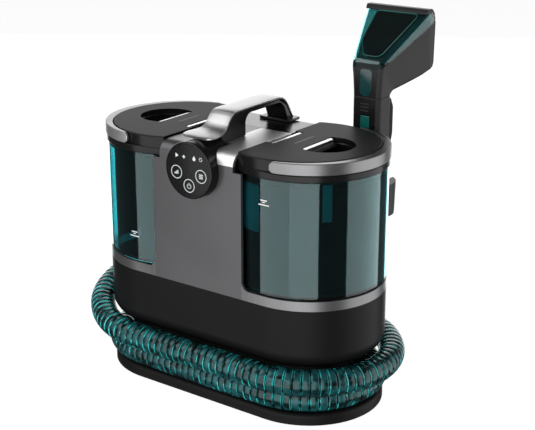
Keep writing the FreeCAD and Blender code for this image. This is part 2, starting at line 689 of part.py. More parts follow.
def head_solid(inset):
    """The tool head: it rises from the handle, turns back, and widens to the mouth. inset makes its cavity."""
    half = size("head_half") - inset
    sections = [
        section([(95 + inset, 332.3 - inset * 3), (123 - inset, 332.3 - inset * 3)], 18.5 - inset, 7 - inset),
        section([(95 + inset, 371 - inset * 0.3), (125 - inset, 335 + inset)], 20.5 - inset, 7 - inset),
        section([(135, 403 - inset * 1.3), (146, 344 + inset * 1.2)], 33.5 - inset, 6.5 - inset),
        section([(165, 426 - inset * 1.3), (169, 354 + inset * 1.2)], half, 6 - inset),
        section([(175.5 - inset, 413 - inset), (174.5 - inset, 360 + inset)], half, 5 - inset),
    ]
    return Part.makeLoft(sections, True, True)


PIN_Z = 322


def make_tool():
    """Hand tool: cuff, grip with trigger and button, and a detachable head with a clear cover."""
    x, y = size("tool_x"), size("tool_y")
    node("tool_cuff", cut(cylinder(x, y, "cuff_bottom", 16.8, "grip_bottom - cuff_bottom - 0.1"),
                          cylinder(x, y, 190, 12.5, 30)))
    trigger_slot = box(x - 13.1, x + 13.1, 118, 140, 259, 328)
    button_hole = box(x - 6.3, x + 6.3, 90, 99, 289.7, 311.3)
    pin_hole = cylinder(x - 16.5, 119, PIN_Z, 1.3, 33, "x")
    collar = cut(cylinder(x, y, "grip_top - 4", 11, 16), cylinder(x, y, "grip_top - 8", 8.6, 30))
    roof = cut(grip_plan(-2, "grip_top - 4", "grip_top"), cylinder(x, y, "grip_top - 8", 8.6, 30))
    shell = cut(grip_plan(0, "grip_bottom", "grip_top"), grip_plan(-3, "grip_bottom - 1", "grip_top - 4"))
    floor = cut(grip_plan(-2, "grip_bottom", "grip_bottom + 3"), cylinder(x, y, 210, 12.5, 30))
    node("tool_grip", cut(fuse(shell, floor, roof, collar), trigger_slot, button_hole, pin_hole))
    node("trigger_pin", cylinder(x - 16.4, 119, PIN_Z, 1.25, 32.8, "x"))
    lever = extruded("YZ_Plane", [
        (117.2, 319.5, 1.5), (117.2, 326.5, 2), (131, 327, 3), (137, 316, 10), (137, 284, 14),
        (130, 262, 3), (123.3, 262), (123.3, 317),
    ], x - 12.5, x + 12.5)
    node("tool_trigger", cut(lever, cylinder(x - 13, 119, PIN_Z, 1.3, 26, "x")))
    node("tool_button", rounded(box(x - 6, x + 6, 94.2, 98.6, 290, 311), 1.2,
                                lambda edge: edge.BoundBox.YMax < 94.21))

    outer = head_solid(0)
    inner = head_solid(2.4)
    mouth = Part.makeBox(72, 16, 13, Vector(x - 36, 163, 396))
    shell = outer.cut(inner).cut(mouth)
    knob = Part.makeCylinder(11.2, 30, Vector(x, y, 320))
    shell = shell.cut(knob)
    # the cover is the part of the shell in front of a plane that runs down its slope
    slope = math.atan2(40, 67)
    half_space = Part.makeBox(200, 200, 60, Vector(-100, -60, 0))
    half_space.rotate(Vector(), Vector(1, 0, 0), math.degrees(slope))
    half_space.translate(Vector(x, 98, 367))
    gap_space = half_space.copy().translate(Vector(0, 0.2, -0.2))
    node("head_cover", shaped(shell.common(half_space)))
    node("head_shell", shaped(shell.cut(gap_space)))
    brush = [Part.makeBox(64, 5, 3.2, Vector(x - 32, 175.2, 378 + 8 * i)) for i in range(2)]
    node("head_brush", shaped(Part.makeCompound(brush)))


# ---------------------------------------------------------------- build and write

def as_is(thing):
    return thing


def main():
    make_base()
    make_deck()
    make_bezel()
    make_column()
    make_pod()
    make_handle()
    make_clean_tank()
    make_dirty_tank()
    make_lid("clean", as_is)
    make_lid("dirty", mirrored)
    make_motor()
    make_pump()
    make_hose()
    make_dock()
    make_tool()
    doc.recompute()

    for thing in doc.Objects:
        if "Invalid" in thing.State or "Error" in thing.State:
            raise RuntimeError(f"{thing.Name} ({thing.Label}) failed: {thing.State}")
    for name, thing in nodes.items():
        if thing.Shape.isNull() or not thing.Shape.isValid() or not thing.Shape.Solids:
            raise RuntimeError(f"{name} has no valid solid")

    os.makedirs("parts", exist_ok=True)
    for name, thing in nodes.items():
        thing.Shape.exportStep(f"parts/{name}.step")
    print(f"{len(nodes)} nodes written")


main()
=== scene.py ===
"""Looks of the portable carpet cleaner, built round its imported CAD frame. Lengths are in metres."""
import json
import math
from contextlib import contextmanager
import bmesh
import bpy
from mathutils import Matrix, Vector


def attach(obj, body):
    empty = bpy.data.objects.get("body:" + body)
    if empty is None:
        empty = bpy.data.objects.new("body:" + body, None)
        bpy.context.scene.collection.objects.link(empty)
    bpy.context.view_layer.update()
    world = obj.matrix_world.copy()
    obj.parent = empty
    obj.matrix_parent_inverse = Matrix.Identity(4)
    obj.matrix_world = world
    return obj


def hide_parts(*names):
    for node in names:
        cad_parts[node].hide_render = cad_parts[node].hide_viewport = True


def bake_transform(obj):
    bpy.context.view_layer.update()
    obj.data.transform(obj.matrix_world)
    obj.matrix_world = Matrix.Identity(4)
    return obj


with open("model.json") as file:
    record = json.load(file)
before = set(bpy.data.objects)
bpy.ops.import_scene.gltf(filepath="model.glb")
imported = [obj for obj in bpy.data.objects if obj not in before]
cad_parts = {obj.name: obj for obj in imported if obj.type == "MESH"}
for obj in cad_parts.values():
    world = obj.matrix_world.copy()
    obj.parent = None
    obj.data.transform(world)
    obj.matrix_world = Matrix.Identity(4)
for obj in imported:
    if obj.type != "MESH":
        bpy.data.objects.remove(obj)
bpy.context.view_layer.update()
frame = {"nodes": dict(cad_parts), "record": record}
NODES = frame["nodes"]
SLOT_OF = {part["node"]: part["material_slot"] for part in frame["record"]["subparts"]}
BODY_OF = {node: body for body, nodes in frame["record"]["behaviour"]["bodies"].items() for node in nodes}
MM = 0.001
ROUND_CENTRE = 90.3  # mm from the machine's middle to the centre of either round end


def put(name, data):
    """A new object in the scene."""
    thing = bpy.data.objects.new(name, data)
    bpy.context.collection.objects.link(thing)
    return thing


def face_target(thing, target, bearing, rise, distance):
    """Put a camera or light at a distance from its target; bearing 0 is the front, and positive is towards +X."""
    turn, tilt = math.radians(bearing), math.radians(rise)
    away = Vector((math.sin(turn) * math.cos(tilt), -math.cos(turn) * math.cos(tilt), math.sin(tilt)))
    thing.location = Vector(target) + away * distance
    thing.rotation_euler = (-away).to_track_quat("-Z", "Y").to_euler()


# ---------------------------------------------------------------- camera

CAMERA_TARGET = (0.03294, 0, 0.20488)
CAMERA_BEARING, CAMERA_RISE, CAMERA_DISTANCE = 36.01, 18.64, 1.40481
LENS, SENSOR_WIDTH = 83.58, 36


def make_camera():
    """The photograph's view."""
    data = bpy.data.cameras.new("camera")
    data.lens = LENS
    data.sensor_width = SENSOR_WIDTH
    camera = put("camera", data)
    face_target(camera, CAMERA_TARGET, CAMERA_BEARING, CAMERA_RISE, CAMERA_DISTANCE)
    bpy.context.scene.camera = camera


make_camera()


# ---------------------------------------------------------------- materials

BLOTCH_SCALE, BLOTCH_DETAIL = 14, 2
SMOOTHEST = 0.02


def surface(name, colour, rough=0.4, metal=0.0, grain=(900, 900, 900), tone=0.12, rough_spread=0.06,
            bump=0.05, depth=0.0001, detail=3, blotch=0.06, spread_half=0.2, **sockets):
    """A material with fine grain in colour, roughness and height, and slow blotches in its tone."""
    material = bpy.data.materials.new(name)
    material.use_nodes = True
    tree = material.node_tree
    shader = tree.nodes["Principled BSDF"]
    add = tree.nodes.new
    link = tree.links.new
    place = add("ShaderNodeTexCoord")
    stretch = add("ShaderNodeMapping")
    stretch.inputs["Scale"].default_value = grain
    link(place.outputs["Object"], stretch.inputs["Vector"])
    fine = add("ShaderNodeTexNoise")
    fine.inputs["Scale"].default_value = 1
    fine.inputs["Detail"].default_value = detail
    link(stretch.outputs["Vector"], fine.inputs["Vector"])
    slow = add("ShaderNodeTexNoise")
    slow.inputs["Scale"].default_value = BLOTCH_SCALE
    slow.inputs["Detail"].default_value = BLOTCH_DETAIL
    link(place.outputs["Object"], slow.inputs["Vector"])

    def spread(source, low, high, half=0.2):
        ramp = add("ShaderNodeMapRange")
        ramp.inputs["From Min"].default_value = 0.5 - half
        ramp.inputs["From Max"].default_value = 0.5 + half
        ramp.inputs["To Min"].default_value = low
        ramp.inputs["To Max"].default_value = high
        link(source.outputs["Fac"], ramp.inputs["Value"])
        return ramp.outputs["Result"]

    tint = add("ShaderNodeMix")
    tint.data_type = "RGBA"
    tint.inputs["A"].default_value = (*[c * (1 - tone) for c in colour], 1)
    tint.inputs["B"].default_value = (*[min(1, c * (1 + tone)) for c in colour], 1)
    link(spread(fine, 0, 1, spread_half), tint.inputs["Factor"])
    shade = add("ShaderNodeHueSaturation")
    link(tint.outputs["Result"], shade.inputs["Color"])
    link(spread(slow, 1 - blotch, 1 + blotch), shade.inputs["Value"])
    link(shade.outputs["Color"], shader.inputs["Base Color"])
    link(spread(fine, max(SMOOTHEST, rough - rough_spread), rough + rough_spread), shader.inputs["Roughness"])
    shader.inputs["Metallic"].default_value = metal
    if bump:
        height = add("ShaderNodeBump")
        height.inputs["Strength"].default_value = bump
        height.inputs["Distance"].default_value = depth
        link(fine.outputs["Fac"], height.inputs["Height"])
        link(height.outputs["Normal"], shader.inputs["Normal"])
    for socket, value in sockets.items():
        shader.inputs[socket.replace("_", " ")].default_value = value
    return material


CLEAR = {"Transmission_Weight": 1.0, "IOR": 1.45, "tone": 0.05, "bump": 0.0, "rough_spread": 0.01,
         "grain": (25, 25, 8)}
SATIN = {"grain": (2400, 2400, 2400), "bump": 0.04}
BRUSHED = {"tone": 0.05, "rough_spread": 0.03}
UPRIGHT_BRUSH = {"grain": (2600, 2600, 60), "bump": 0.01, **BRUSHED}
LEVEL_BRUSH = {"grain": (60, 60, 1500), "bump": 0.004, **BRUSHED}
FINISHES = {
    "black_shell": surface("satin_black", (0.0065, 0.0065, 0.0068), 0.42, Specular_IOR_Level=0.075, **SATIN),
    "black_gloss": surface("polished_black", (0.005, 0.005, 0.0055), 0.22, bump=0.01, Specular_IOR_Level=0.22),
    "silver_shell": surface("brushed_silver", (0.085, 0.085, 0.088), 0.36, 0.7, Specular_IOR_Level=0.15,
                            **UPRIGHT_BRUSH),
    "lid_grey": surface("lid_satin", (0.017, 0.017, 0.0175), 0.50, Specular_IOR_Level=0.045, **SATIN),
    "bright_trim": surface("bright_trim", (0.17, 0.17, 0.173), 0.36, 1.0, **LEVEL_BRUSH),
    "handle_silver": surface("handle_silver", (0.46, 0.46, 0.465), 0.42, 1.0, grain=(40, 40, 40), bump=0.0,
                             tone=0.03, rough_spread=0.01),
    "tank_tint": surface("tank_tint", (0.10, 0.56, 0.60), 0.03, **CLEAR),
    "hose_tint": surface("hose_tint", (0.0030, 0.029, 0.032), 0.26, bump=0.02, tone=0.85, rough_spread=0.12,
                         grain=(70, 70, 120), blotch=0.4, spread_half=0.10, Specular_IOR_Level=0.42,
                         Specular_Tint=(0.7, 1, 1, 1)),
    "cover_tint": surface("cover_tint", (0.26, 0.60, 0.61), 0.03, Specular_IOR_Level=0.17, **CLEAR),
    "teal_button": surface("teal_button", (0.002, 0.085, 0.07), 0.25, bump=0.02, Specular_IOR_Level=0.3),
    "tool_grey": surface("tool_graphite", (0.028, 0.028, 0.0285), 0.42, Specular_IOR_Level=0.12, **SATIN),
    "touch_glass": surface("touch_glass", (0.007, 0.007, 0.0072), 0.30, bump=0.0, tone=0.3, Specular_IOR_Level=0.15),
    "rubber_black": surface("rubber", (0.006, 0.006, 0.006), 0.7, grain=(1200, 1200, 1200), bump=0.25,
                            Specular_IOR_Level=0.1),
    "steel_bright": surface("bright_steel", (0.55, 0.55, 0.56), 0.28, 1.0, grain=(1500, 1500, 80)),
    "motor_steel": surface("zinc_steel", (0.33, 0.33, 0.34), 0.42, 0.9, grain=(500, 500, 500), tone=0.2),
    "motor_core": surface("copper_core", (0.42, 0.17, 0.07), 0.4, 0.8, grain=(200, 200, 2500), tone=0.4, bump=0.4),
    "white_plastic": surface("nylon", (0.62, 0.62, 0.58), 0.45),
    "board_green": surface("solder_mask", (0.01, 0.09, 0.035), 0.3, grain=(700, 700, 700), tone=0.35),
    "foam_grey": surface("foam", (0.05, 0.05, 0.052), 0.9, grain=(1500, 1500, 1500), tone=0.6, bump=0.9,
                         depth=0.0006),
    "float_white": surface("float_foam", (0.62, 0.61, 0.57), 0.6, bump=0.3, grain=(1800, 1800, 1800)),
    "bristle_black": surface("bristles", (0.012, 0.012, 0.013), 0.6, grain=(4000, 300, 4000), tone=0.5, bump=0.8),
}
BAR_BRIGHT = surface("polished_bar", (0.62, 0.62, 0.63), 0.25, 1.0, **LEVEL_BRUSH)
# a lighter copy of the trim's silver for the left lid: painted light
LEFT_TRIM_PAINTED_LIGHTER = surface("trim_painted_lighter_left", (0.42, 0.42, 0.425), 0.5, 1.0, **LEVEL_BRUSH)
MARKS = surface("printed_white", (0.56, 0.60, 0.60), 0.4, bump=0.0, tone=0.04)
FAINT_MARKS = surface("printed_grey", (0.10, 0.10, 0.10), 0.4, bump=0.0, tone=0.04)
# painted highlight: a bright teal, lit in patches, on the shoulders of the hose's ribs
HOSE_PAINTED_HIGHLIGHT = surface("hose_painted_highlight", (0.012, 0.17, 0.165), 0.15, bump=0.0, tone=0.97, grain=(60, 60, 110), blotch=0.8,
                    spread_half=0.06, Specular_IOR_Level=0.5, Specular_Tint=(0.5, 1, 1, 1))
# painted shade: near-black in the hose's grooves
HOSE_PAINTED_SHADE = surface("hose_groove_painted_shade", (0.0008, 0.008, 0.009), 0.3, bump=0.0, Specular_IOR_Level=0.2)
SIDE_BLACK = surface("lid_side_black", (0.005, 0.005, 0.0053), 0.22, bump=0.01, Specular_IOR_Level=0.2)
# painted shade: the near-black sheet inside each tank
PAINTED_SHADE_DARK = surface("painted_shade_dark", (0.0008, 0.003, 0.0035), 0.45, bump=0.02, Specular_IOR_Level=0.1)
# painted reflection: the lighter teal patches on that dark sheet
PAINTED_REFLECTION_TEAL = surface("painted_reflection_teal", (0.008, 0.11, 0.12), 0.5, bump=0.02, tone=0.2, Specular_IOR_Level=0.1)
# lighter and lighter copies of the bezel's silver: a painted sheen along the band
BAND_PAINTED_SHEEN = [surface(f"band_painted_sheen_{i}", (shade, shade, shade * 1.02), 0.34, 0.8, **UPRIGHT_BRUSH)
        for i, shade in enumerate((0.095, 0.11, 0.125, 0.14, 0.155))]
# a much lighter copy of the bezel's silver: painted highlight on its top
SADDLE_PAINTED_HIGHLIGHT = surface("saddle_painted_highlight", (0.66, 0.66, 0.665), 0.44, 1.0, grain=(2600, 2600, 60), bump=0.004, **BRUSHED)
HEAD_INSIDE = surface("head_inside", (0.016, 0.105, 0.110), 0.4, bump=0.02, tone=0.2, Specular_IOR_Level=0.2)
# painted reflection: the pale sheet under the head cover's left edge
HEAD_PAINTED_REFLECTION = surface("head_painted_reflection", (0.55, 0.85, 0.85), 0.4, bump=0.02, tone=0.1, Specular_IOR_Level=0.2)
HEAD_BLACK = surface("head_black", (0.004, 0.009, 0.0095), 0.25, bump=0.01, Specular_IOR_Level=0.12)
WINDOW_TEAL = surface("window_teal", (0.004, 0.035, 0.036), 0.10, bump=0.0, Specular_IOR_Level=0.5)

for node, piece in NODES.items():
    piece.data.materials.clear()
    piece.data.materials.append(FINISHES[SLOT_OF[node]])


# ---------------------------------------------------------------- mesh helpers

def add_piece(name, mesh, body, slot, *replaced):
    """A piece that moves with a body and stands for the CAD nodes it replaces."""
    piece = put(name, mesh)
    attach(piece, body)
    if replaced:
        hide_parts(*replaced)
    return piece


def mesh_of(name, vertices, faces):
    """A new mesh; vertices are in metres."""
    mesh = bpy.data.meshes.new(name)
    mesh.from_pydata([tuple(v) for v in vertices], [], faces)
    mesh.update()
    return mesh


@contextmanager
def editing(mesh):
    """The mesh open for editing, and written back at the end."""
    work = bmesh.new()
    work.from_mesh(mesh)
    yield work
    work.to_mesh(mesh)
    work.free()


def cut_through(work, spot, normal, **cleared):
    """Cut every face along a plane."""
    bmesh.ops.bisect_plane(work, geom=work.verts[:] + work.edges[:] + work.faces[:], plane_co=spot,
                           plane_no=normal, dist=1e-6, **cleared)


def settle(mesh, angle=35):
    """Smooth shading, broken where faces meet at more than the angle."""
    mesh.shade_smooth()
    mesh.set_sharp_from_angle(angle=math.radians(angle))


def apply_modifiers(piece):
    """Give the piece the mesh that its modifiers make of it."""
    graph = bpy.context.evaluated_depsgraph_get()
    graph.update()
    done = bpy.data.meshes.new_from_object(piece.evaluated_get(graph))
    done.name = piece.name
    piece.modifiers.clear()
    piece.data = done


def bevelled(piece, width, angle=40, segments=3):
    """Round the piece's edges that are sharper than the angle."""
    bevel = piece.modifiers.new("edges", "BEVEL")
    bevel.width = width
    bevel.segments = segments
    bevel.limit_method = "ANGLE"
    bevel.angle_limit = math.radians(angle)
    bevel.use_clamp_overlap = True
    bevel.miter_outer = "MITER_ARC"
    normals = piece.modifiers.new("normals", "WEIGHTED_NORMAL")
    normals.keep_sharp = True
    settle(piece.data)
    apply_modifiers(piece)


WELD_DISTANCE = 2e-6
FLAT_ANGLE = 0.4


def softened(node, width):
    """A copy of a CAD node with its flat faces joined up and its edges rounded, shown in its place."""
    source = NODES[node].data
    mesh = mesh_of(node + "_soft", [v.co for v in source.vertices], [tuple(p.vertices) for p in source.polygons])
    with editing(mesh) as work:
        bmesh.ops.remove_doubles(work, verts=work.verts, dist=WELD_DISTANCE)
        bmesh.ops.dissolve_limit(work, angle_limit=math.radians(FLAT_ANGLE), verts=work.verts, edges=work.edges)
        bmesh.ops.recalc_face_normals(work, faces=work.faces)
    mesh.materials.append(FINISHES[SLOT_OF[node]])
    bevelled(add_piece(node + "_soft", mesh, BODY_OF[node], SLOT_OF[node], node), width)


# ---------------------------------------------------------------- hose

ROUTE_STEP = 45  # degrees between the route's points round an end
ROUTE_ORDER, ROUTE_SMOOTHNESS = 3, 24


def end_point(side, radius, angle, z):
    """A point of the route round an end of the body; angle is from the +X or -X axis towards the back."""
    reach = radius / math.cos(math.radians(ROUTE_STEP / 2))
    turn = math.radians(angle)
    return side * (ROUND_CENTRE + reach * math.cos(turn)), reach * math.sin(turn), z


HOSE_ROUTE = [  # in millimetres; the hose starts at its port in the waist
    (60, 76, 31),
    # the lower wrap: right end, front, left end
    end_point(1, 76, 67.5, 31),
    end_point(1, 75, 22.5, 31),
    end_point(1, 75, -22.5, 31),
    end_point(1, 76.5, -67.5, 31),
    (41, -79.5, 31),
    (-41, -79, 31.5),
    end_point(-1, 77.5, -67.5, 31),
    end_point(-1, 77.5, -22.5, 31),
    end_point(-1, 77.5, 22.5, 32),
    end_point(-1, 79, 67.5, 34),
    # behind, rising to the upper wrap
    (-41, 89, 43),
    (41, 97, 60),
    end_point(1, 95.5, 67.5, 60),
    end_point(1, 94.5, 22.5, 57),
    end_point(1, 94.5, -22.5, 57.5),
    end_point(1, 96, -67.5, 59),
    (43, -98.5, 60.5),
    (-43, -98, 60.5),
    end_point(-1, 97.5, -67.5, 62),
    end_point(-1, 101.5, -22.5, 76),
    end_point(-1, 103.5, 22.5, 92),
    end_point(-1, 106, 67.5, 97),
    # behind again, and up into the tool's cuff
    (-60, 117, 90),
    (-12, 124, 84),
    (35.9, 126, 82.4),
    (77.5, 119, 106.4),
    (100.2, 109, 148),
    (100.2, 109, 196),
]
HOSE_SIDES, HOSE_CREASE = 28, 60
LOOK_AHEAD = 0.002
RIB_PITCH = 0.0088
# the looks of the hose's strips: plain, painted shade, painted highlight
RIB, SHADE_STRIP, HIGHLIGHT_STRIP = range(3)
RIB_SHAPE = [  # share of the pitch, radius, and the look of the strip from there to the next: plain rib, painted shade in the groove, or painted highlight on the rib's shoulder
    (0.0, 0.0132, SHADE_STRIP), (0.06, 0.0138, HIGHLIGHT_STRIP), (0.13, 0.0147, RIB), (0.22, 0.01495, RIB),
    (0.50, 0.0150, RIB), (0.78, 0.01495, RIB), (0.87, 0.0147, HIGHLIGHT_STRIP), (0.94, 0.0138, SHADE_STRIP),
]


def route_line():
    """Points of the route's smooth spline."""
    data = bpy.data.curves.new("hose_route", "CURVE")
    data.dimensions = "3D"
    spline = data.splines.new("NURBS")
    spline.points.add(len(HOSE_ROUTE) - 1)
    for point, (x, y, z) in zip(spline.points, HOSE_ROUTE):
        point.co = (x * MM, y * MM, z * MM, 1)
    spline.order_u = ROUTE_ORDER
    spline.use_endpoint_u = True
    spline.resolution_u = ROUTE_SMOOTHNESS
    carrier = bpy.data.objects.new("hose_route", data)
    mesh = bpy.data.meshes.new_from_object(carrier)
    line = [v.co.copy() for v in mesh.vertices]
    bpy.data.meshes.remove(mesh)
    bpy.data.objects.remove(carrier)
    return line


def along(line):
    """A function that gives the line's point at a distance from its start, and the line's length."""
    marks = [0.0]
    for a, b in zip(line, line[1:]):
        marks.append(marks[-1] + (b - a).length)

    def at(distance):
        low, high = 0, len(marks) - 2
        while low < high:
            middle = (low + high + 1) // 2
            if marks[middle] <= distance:
                low = middle
            else:
                high = middle - 1
        share = (distance - marks[low]) / (marks[low + 1] - marks[low])
        return line[low].lerp(line[low + 1], share)
    return at, marks[-1]


def make_hose():
    """A ribbed tube along the route."""
    line = route_line()
    at, length = along(line)
    ribs = round(length / RIB_PITCH)
    pitch = length / ribs
    stations = [((i + share) * pitch, radius, look) for i in range(ribs) for share, radius, look in RIB_SHAPE]
    stations.append((length, RIB_SHAPE[0][1], SHADE_STRIP))
    vertices, faces, looks = [], [], []
    side = None
    for distance, radius, _ in stations:
        ahead = (at(min(length, distance + LOOK_AHEAD)) - at(max(0, distance - LOOK_AHEAD))).normalized()
        centre = at(min(distance, length - 1e-7))
        if side is None:
            side = ahead.cross(Vector((0, 0, 1))).normalized()
        side = (side - ahead * side.dot(ahead)).normalized()
        up = side.cross(ahead)
        for k in range(HOSE_SIDES):
            turn = 2 * math.pi * k / HOSE_SIDES
            vertices.append(centre + radius * (side * math.cos(turn) + up * math.sin(turn)))
    for i, (_, _, look) in enumerate(stations[:-1]):
        here, there = i * HOSE_SIDES, (i + 1) * HOSE_SIDES
        for k in range(HOSE_SIDES):
            follower = (k + 1) % HOSE_SIDES
            faces.append((here + k, here + follower, there + follower, there + k))
            looks.append(look)
    last = (len(stations) - 1) * HOSE_SIDES
    faces += [tuple(reversed(range(HOSE_SIDES))), tuple(range(last, last + HOSE_SIDES))]
    looks += [SHADE_STRIP, SHADE_STRIP]
    mesh = mesh_of("hose_ribbed", vertices, faces)
    # the hose's own colour, then the painted shade of its grooves and the painted highlight of its rib shoulders
    for material in (FINISHES["hose_tint"], HOSE_PAINTED_SHADE, HOSE_PAINTED_HIGHLIGHT):
        mesh.materials.append(material)
    for polygon, look in zip(mesh.polygons, looks):
        polygon.material_index = look
    with editing(mesh) as work:
        bmesh.ops.recalc_face_normals(work, faces=work.faces)
    settle(mesh, HOSE_CREASE)
    hose = put("hose_ribbed", mesh)
    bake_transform(hose)
    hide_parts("hose")


make_hose()


# ---------------------------------------------------------------- control disc

PRINT_HEIGHT = 0.00012


def ring_mesh(x, z, radius, width, y, parts=48, start=0, turn=360):
    """A flat printed ring, or an arc of one, that faces the front."""
    vertices, faces = [], []
    steps = parts + 1 if turn < 360 else parts
    inner, outer = radius - width / 2, radius + width / 2
    for i in range(steps):
        angle = math.radians(start + turn * i / parts)
        for r, out in ((inner, 0), (inner, PRINT_HEIGHT), (outer, PRINT_HEIGHT), (outer, 0)):
            vertices.append((x + r * math.cos(angle), y - out, z + r * math.sin(angle)))
    for i in range(parts):
        a, b = 4 * i, 4 * ((i + 1) % steps)
        for k in range(4):
            faces.append((a + k, a + (k + 1) % 4, b + (k + 1) % 4, b + k))
    if turn < 360:
        end = 4 * (steps - 1)
        faces += [(3, 2, 1, 0), (end, end + 1, end + 2, end + 3)]
    return vertices, faces


def plate_mesh(corners, y):
    """A flat printed shape that faces the front; corners are (x, z)."""
    count = len(corners)
    vertices = [(x, y, z) for x, z in corners] + [(x, y - PRINT_HEIGHT, z) for x, z in corners]
    faces = [tuple(range(count)), tuple(reversed(range(count, 2 * count)))]
    faces += [(i, i + count, (i + 1) % count + count, (i + 1) % count) for i in range(count)]
    return vertices, faces


def box(left, low, right, high, *radius):
    """The corners of an upright rectangle, all with the same radius if one is given."""
    return [(u, v, *radius) for u, v in ((left, low), (right, low), (right, high), (left, high))]


def join(shapes):
    """One shape of several; a shape is its vertices and its faces."""
    vertices, faces = [], []
    for some_vertices, some_faces in shapes:
        start = len(vertices)
        vertices += some_vertices
        faces += [tuple(i + start for i in face) for face in some_faces]
    return vertices, faces


def finished(name, shapes, material):
    """A mesh of shapes with its faces turned outwards."""
    mesh = mesh_of(name, *join(shapes))
    with editing(mesh) as work:
        bmesh.ops.recalc_face_normals(work, faces=work.faces)
    mesh.materials.append(material)
    settle(mesh)
    return mesh


def circle_points(x, z, radius, angles):
    """Points round (x, z) at angles in degrees."""
    return [(x + radius * math.cos(math.radians(a)), z + radius * math.sin(math.radians(a))) for a in angles]


GLASS_FACE = -0.0988
LINE_STEP = 0.0019


def make_icons():
    """The control disc's printed marks."""
    y = GLASS_FACE
    shapes = [ring_mesh(x, z, 0.0071, 0.00075, y) for x, z in ((-0.0160, 0.2714), (0.0175, 0.2714), (0.0010, 0.2584))]
    # power mark, level bars and lines inside the three rings
    shapes.append(ring_mesh(0.0010, 0.2580, 0.0026, 0.0006, y, parts=24, start=120, turn=300))
    shapes.append(plate_mesh(box(0.0007, 0.2582, 0.0013, 0.2616), y))
    for i, height in enumerate((0.0020, 0.0032, 0.0044)):
        x = -0.0186 + LINE_STEP * i
        shapes.append(plate_mesh(box(x, 0.2692, x + 0.0012, 0.2692 + height), y))
    for i in range(3):
        z = 0.2690 + LINE_STEP * i
        shapes.append(plate_mesh(box(0.0149, z, 0.0201, z + 0.0010), y))
    # four small marks above: triangle, star, drop, dotted round
    shapes.append(plate_mesh([(-0.0168, 0.2878), (-0.0128, 0.2902), (-0.0168, 0.2926)], y))
    star = [circle_points(-0.0055, 0.2898, 0.0010 if k % 2 else 0.0026, [90 + 45 * k])[0] for k in range(8)]
    shapes.append(plate_mesh(star, y))
    shapes.append(plate_mesh(circle_points(0.0085, 0.2892, 0.0020, range(150, 391, 20)) + [(0.0085, 0.2929)], y))
    for x, z in circle_points(0.0175, 0.2900, 0.0018, range(0, 360, 60)):
        shapes.append(plate_mesh(circle_points(x, z, 0.0006, range(0, 360, 36)), y))
    add_piece("pod_icons", finished("pod_icons", shapes, MARKS), "machine", "touch_glass")


make_icons()


# ---------------------------------------------------------------- outlines, prisms and lofts

def rounded_outline(corners, step=6):
    """Points round a closed outline of (u, v) or (u, v, radius) corners, in millimetres, each arc in short steps."""
    points = []
    count = len(corners)
    for i, corner in enumerate(corners):
        spot = Vector(corner[:2])
        if len(corner) < 3:
            points.append(spot)
            continue
        back = (Vector(corners[i - 1][:2]) - spot).normalized()
        ahead = (Vector(corners[(i + 1) % count][:2]) - spot).normalized()
        half = back.angle(ahead) / 2
        run = corner[2] / math.tan(half)
        centre = spot + (back + ahead).normalized() * (corner[2] / math.sin(half))
        start, end = spot + back * run - centre, spot + ahead * run - centre
        sweep = start.angle_signed(end)
        parts = max(2, round(abs(math.degrees(sweep)) / step))
        for k in range(parts + 1):
            turn = Matrix.Rotation(-sweep * k / parts, 2)
            points.append(centre + turn @ start)
    return points


def prism(outline, low, high, plane):
    """Vertices in metres and faces of an outline carried from low to high, in millimetres, across its plane."""
    def spot(point, level):
        u, v = point
        return {"yz": (level * MM, u * MM, v * MM), "xz": (u * MM, level * MM, v * MM),
                "xy": (u * MM, v * MM, level * MM)}[plane]
    count = len(outline)
    vertices = [spot(p, low) for p in outline] + [spot(p, high) for p in outline]
    faces = [tuple(range(count)), tuple(range(count, 2 * count))]
    faces += [(i, (i + 1) % count, (i + 1) % count + count, i + count) for i in range(count)]
    return vertices, faces


def loft(rings, capped=True):
    """Vertices and faces through closed rings of equally many points in metres."""
    count = len(rings[0])
    vertices = [point for ring in rings for point in ring]
    faces = [(r * count + i, r * count + (i + 1) % count, (r + 1) * count + (i + 1) % count, (r + 1) * count + i)
             for r in range(len(rings) - 1) for i in range(count)]
    if capped:
        faces += [tuple(range(count)), tuple(range((len(rings) - 1) * count, len(rings) * count))]
    return vertices, faces


def mirrored(shape):
    """The same shape on the machine's other side."""
    vertices, faces = shape
    return [(-x, y, z) for x, y, z in vertices], faces


def d_ring(centre, radius, flat, z, parts=96):
    """Points in metres round a circle about (centre, 0) that is cut off at x = flat, both in millimetres."""
    limit = math.acos((flat - centre) / radius)
    return [((centre + radius * math.cos(a)) * MM, radius * math.sin(a) * MM, z * MM)
            for a in (-limit + 2 * limit * i / (parts - 1) for i in range(parts))]


def carve(piece, *cutters):
    """Take each cutter's shape out of the piece."""
    for i, shape in enumerate(cutters):
        mesh = finished(f"cutter_{i}", [shape], PAINTED_SHADE_DARK)
        cutter = put(f"cutter_{i}", mesh)
        gap = piece.modifiers.new("gap", "BOOLEAN")
        gap.operation = "DIFFERENCE"
        gap.solver = "EXACT"
        gap.object = cutter
        apply_modifiers(piece)
        bpy.data.objects.remove(cutter)
        bpy.data.meshes.remove(mesh)


def made(name, shapes, body, slot, replaced=(), width=0.0006, material=None, angle=35, cutters=()):
    """A finished piece: shapes joined, cutters taken out, and edges rounded."""
    mesh = finished(name, shapes, material or FINISHES[slot])
    piece = add_piece(name, mesh, body, slot, *replaced)
    if cutters:
        carve(piece, *cutters)
    if width:
        bevelled(piece, width, angle)
    return piece


# ---------------------------------------------------------------- tanks and lids

# in millimetres, for the right-hand tank and lid
TANK_RADIUS, TANK_FLAT, TANK_LOW, TANK_HIGH, TANK_FLOOR, TANK_WALL = 86, 51.2, 149, 279, 152, 2.5
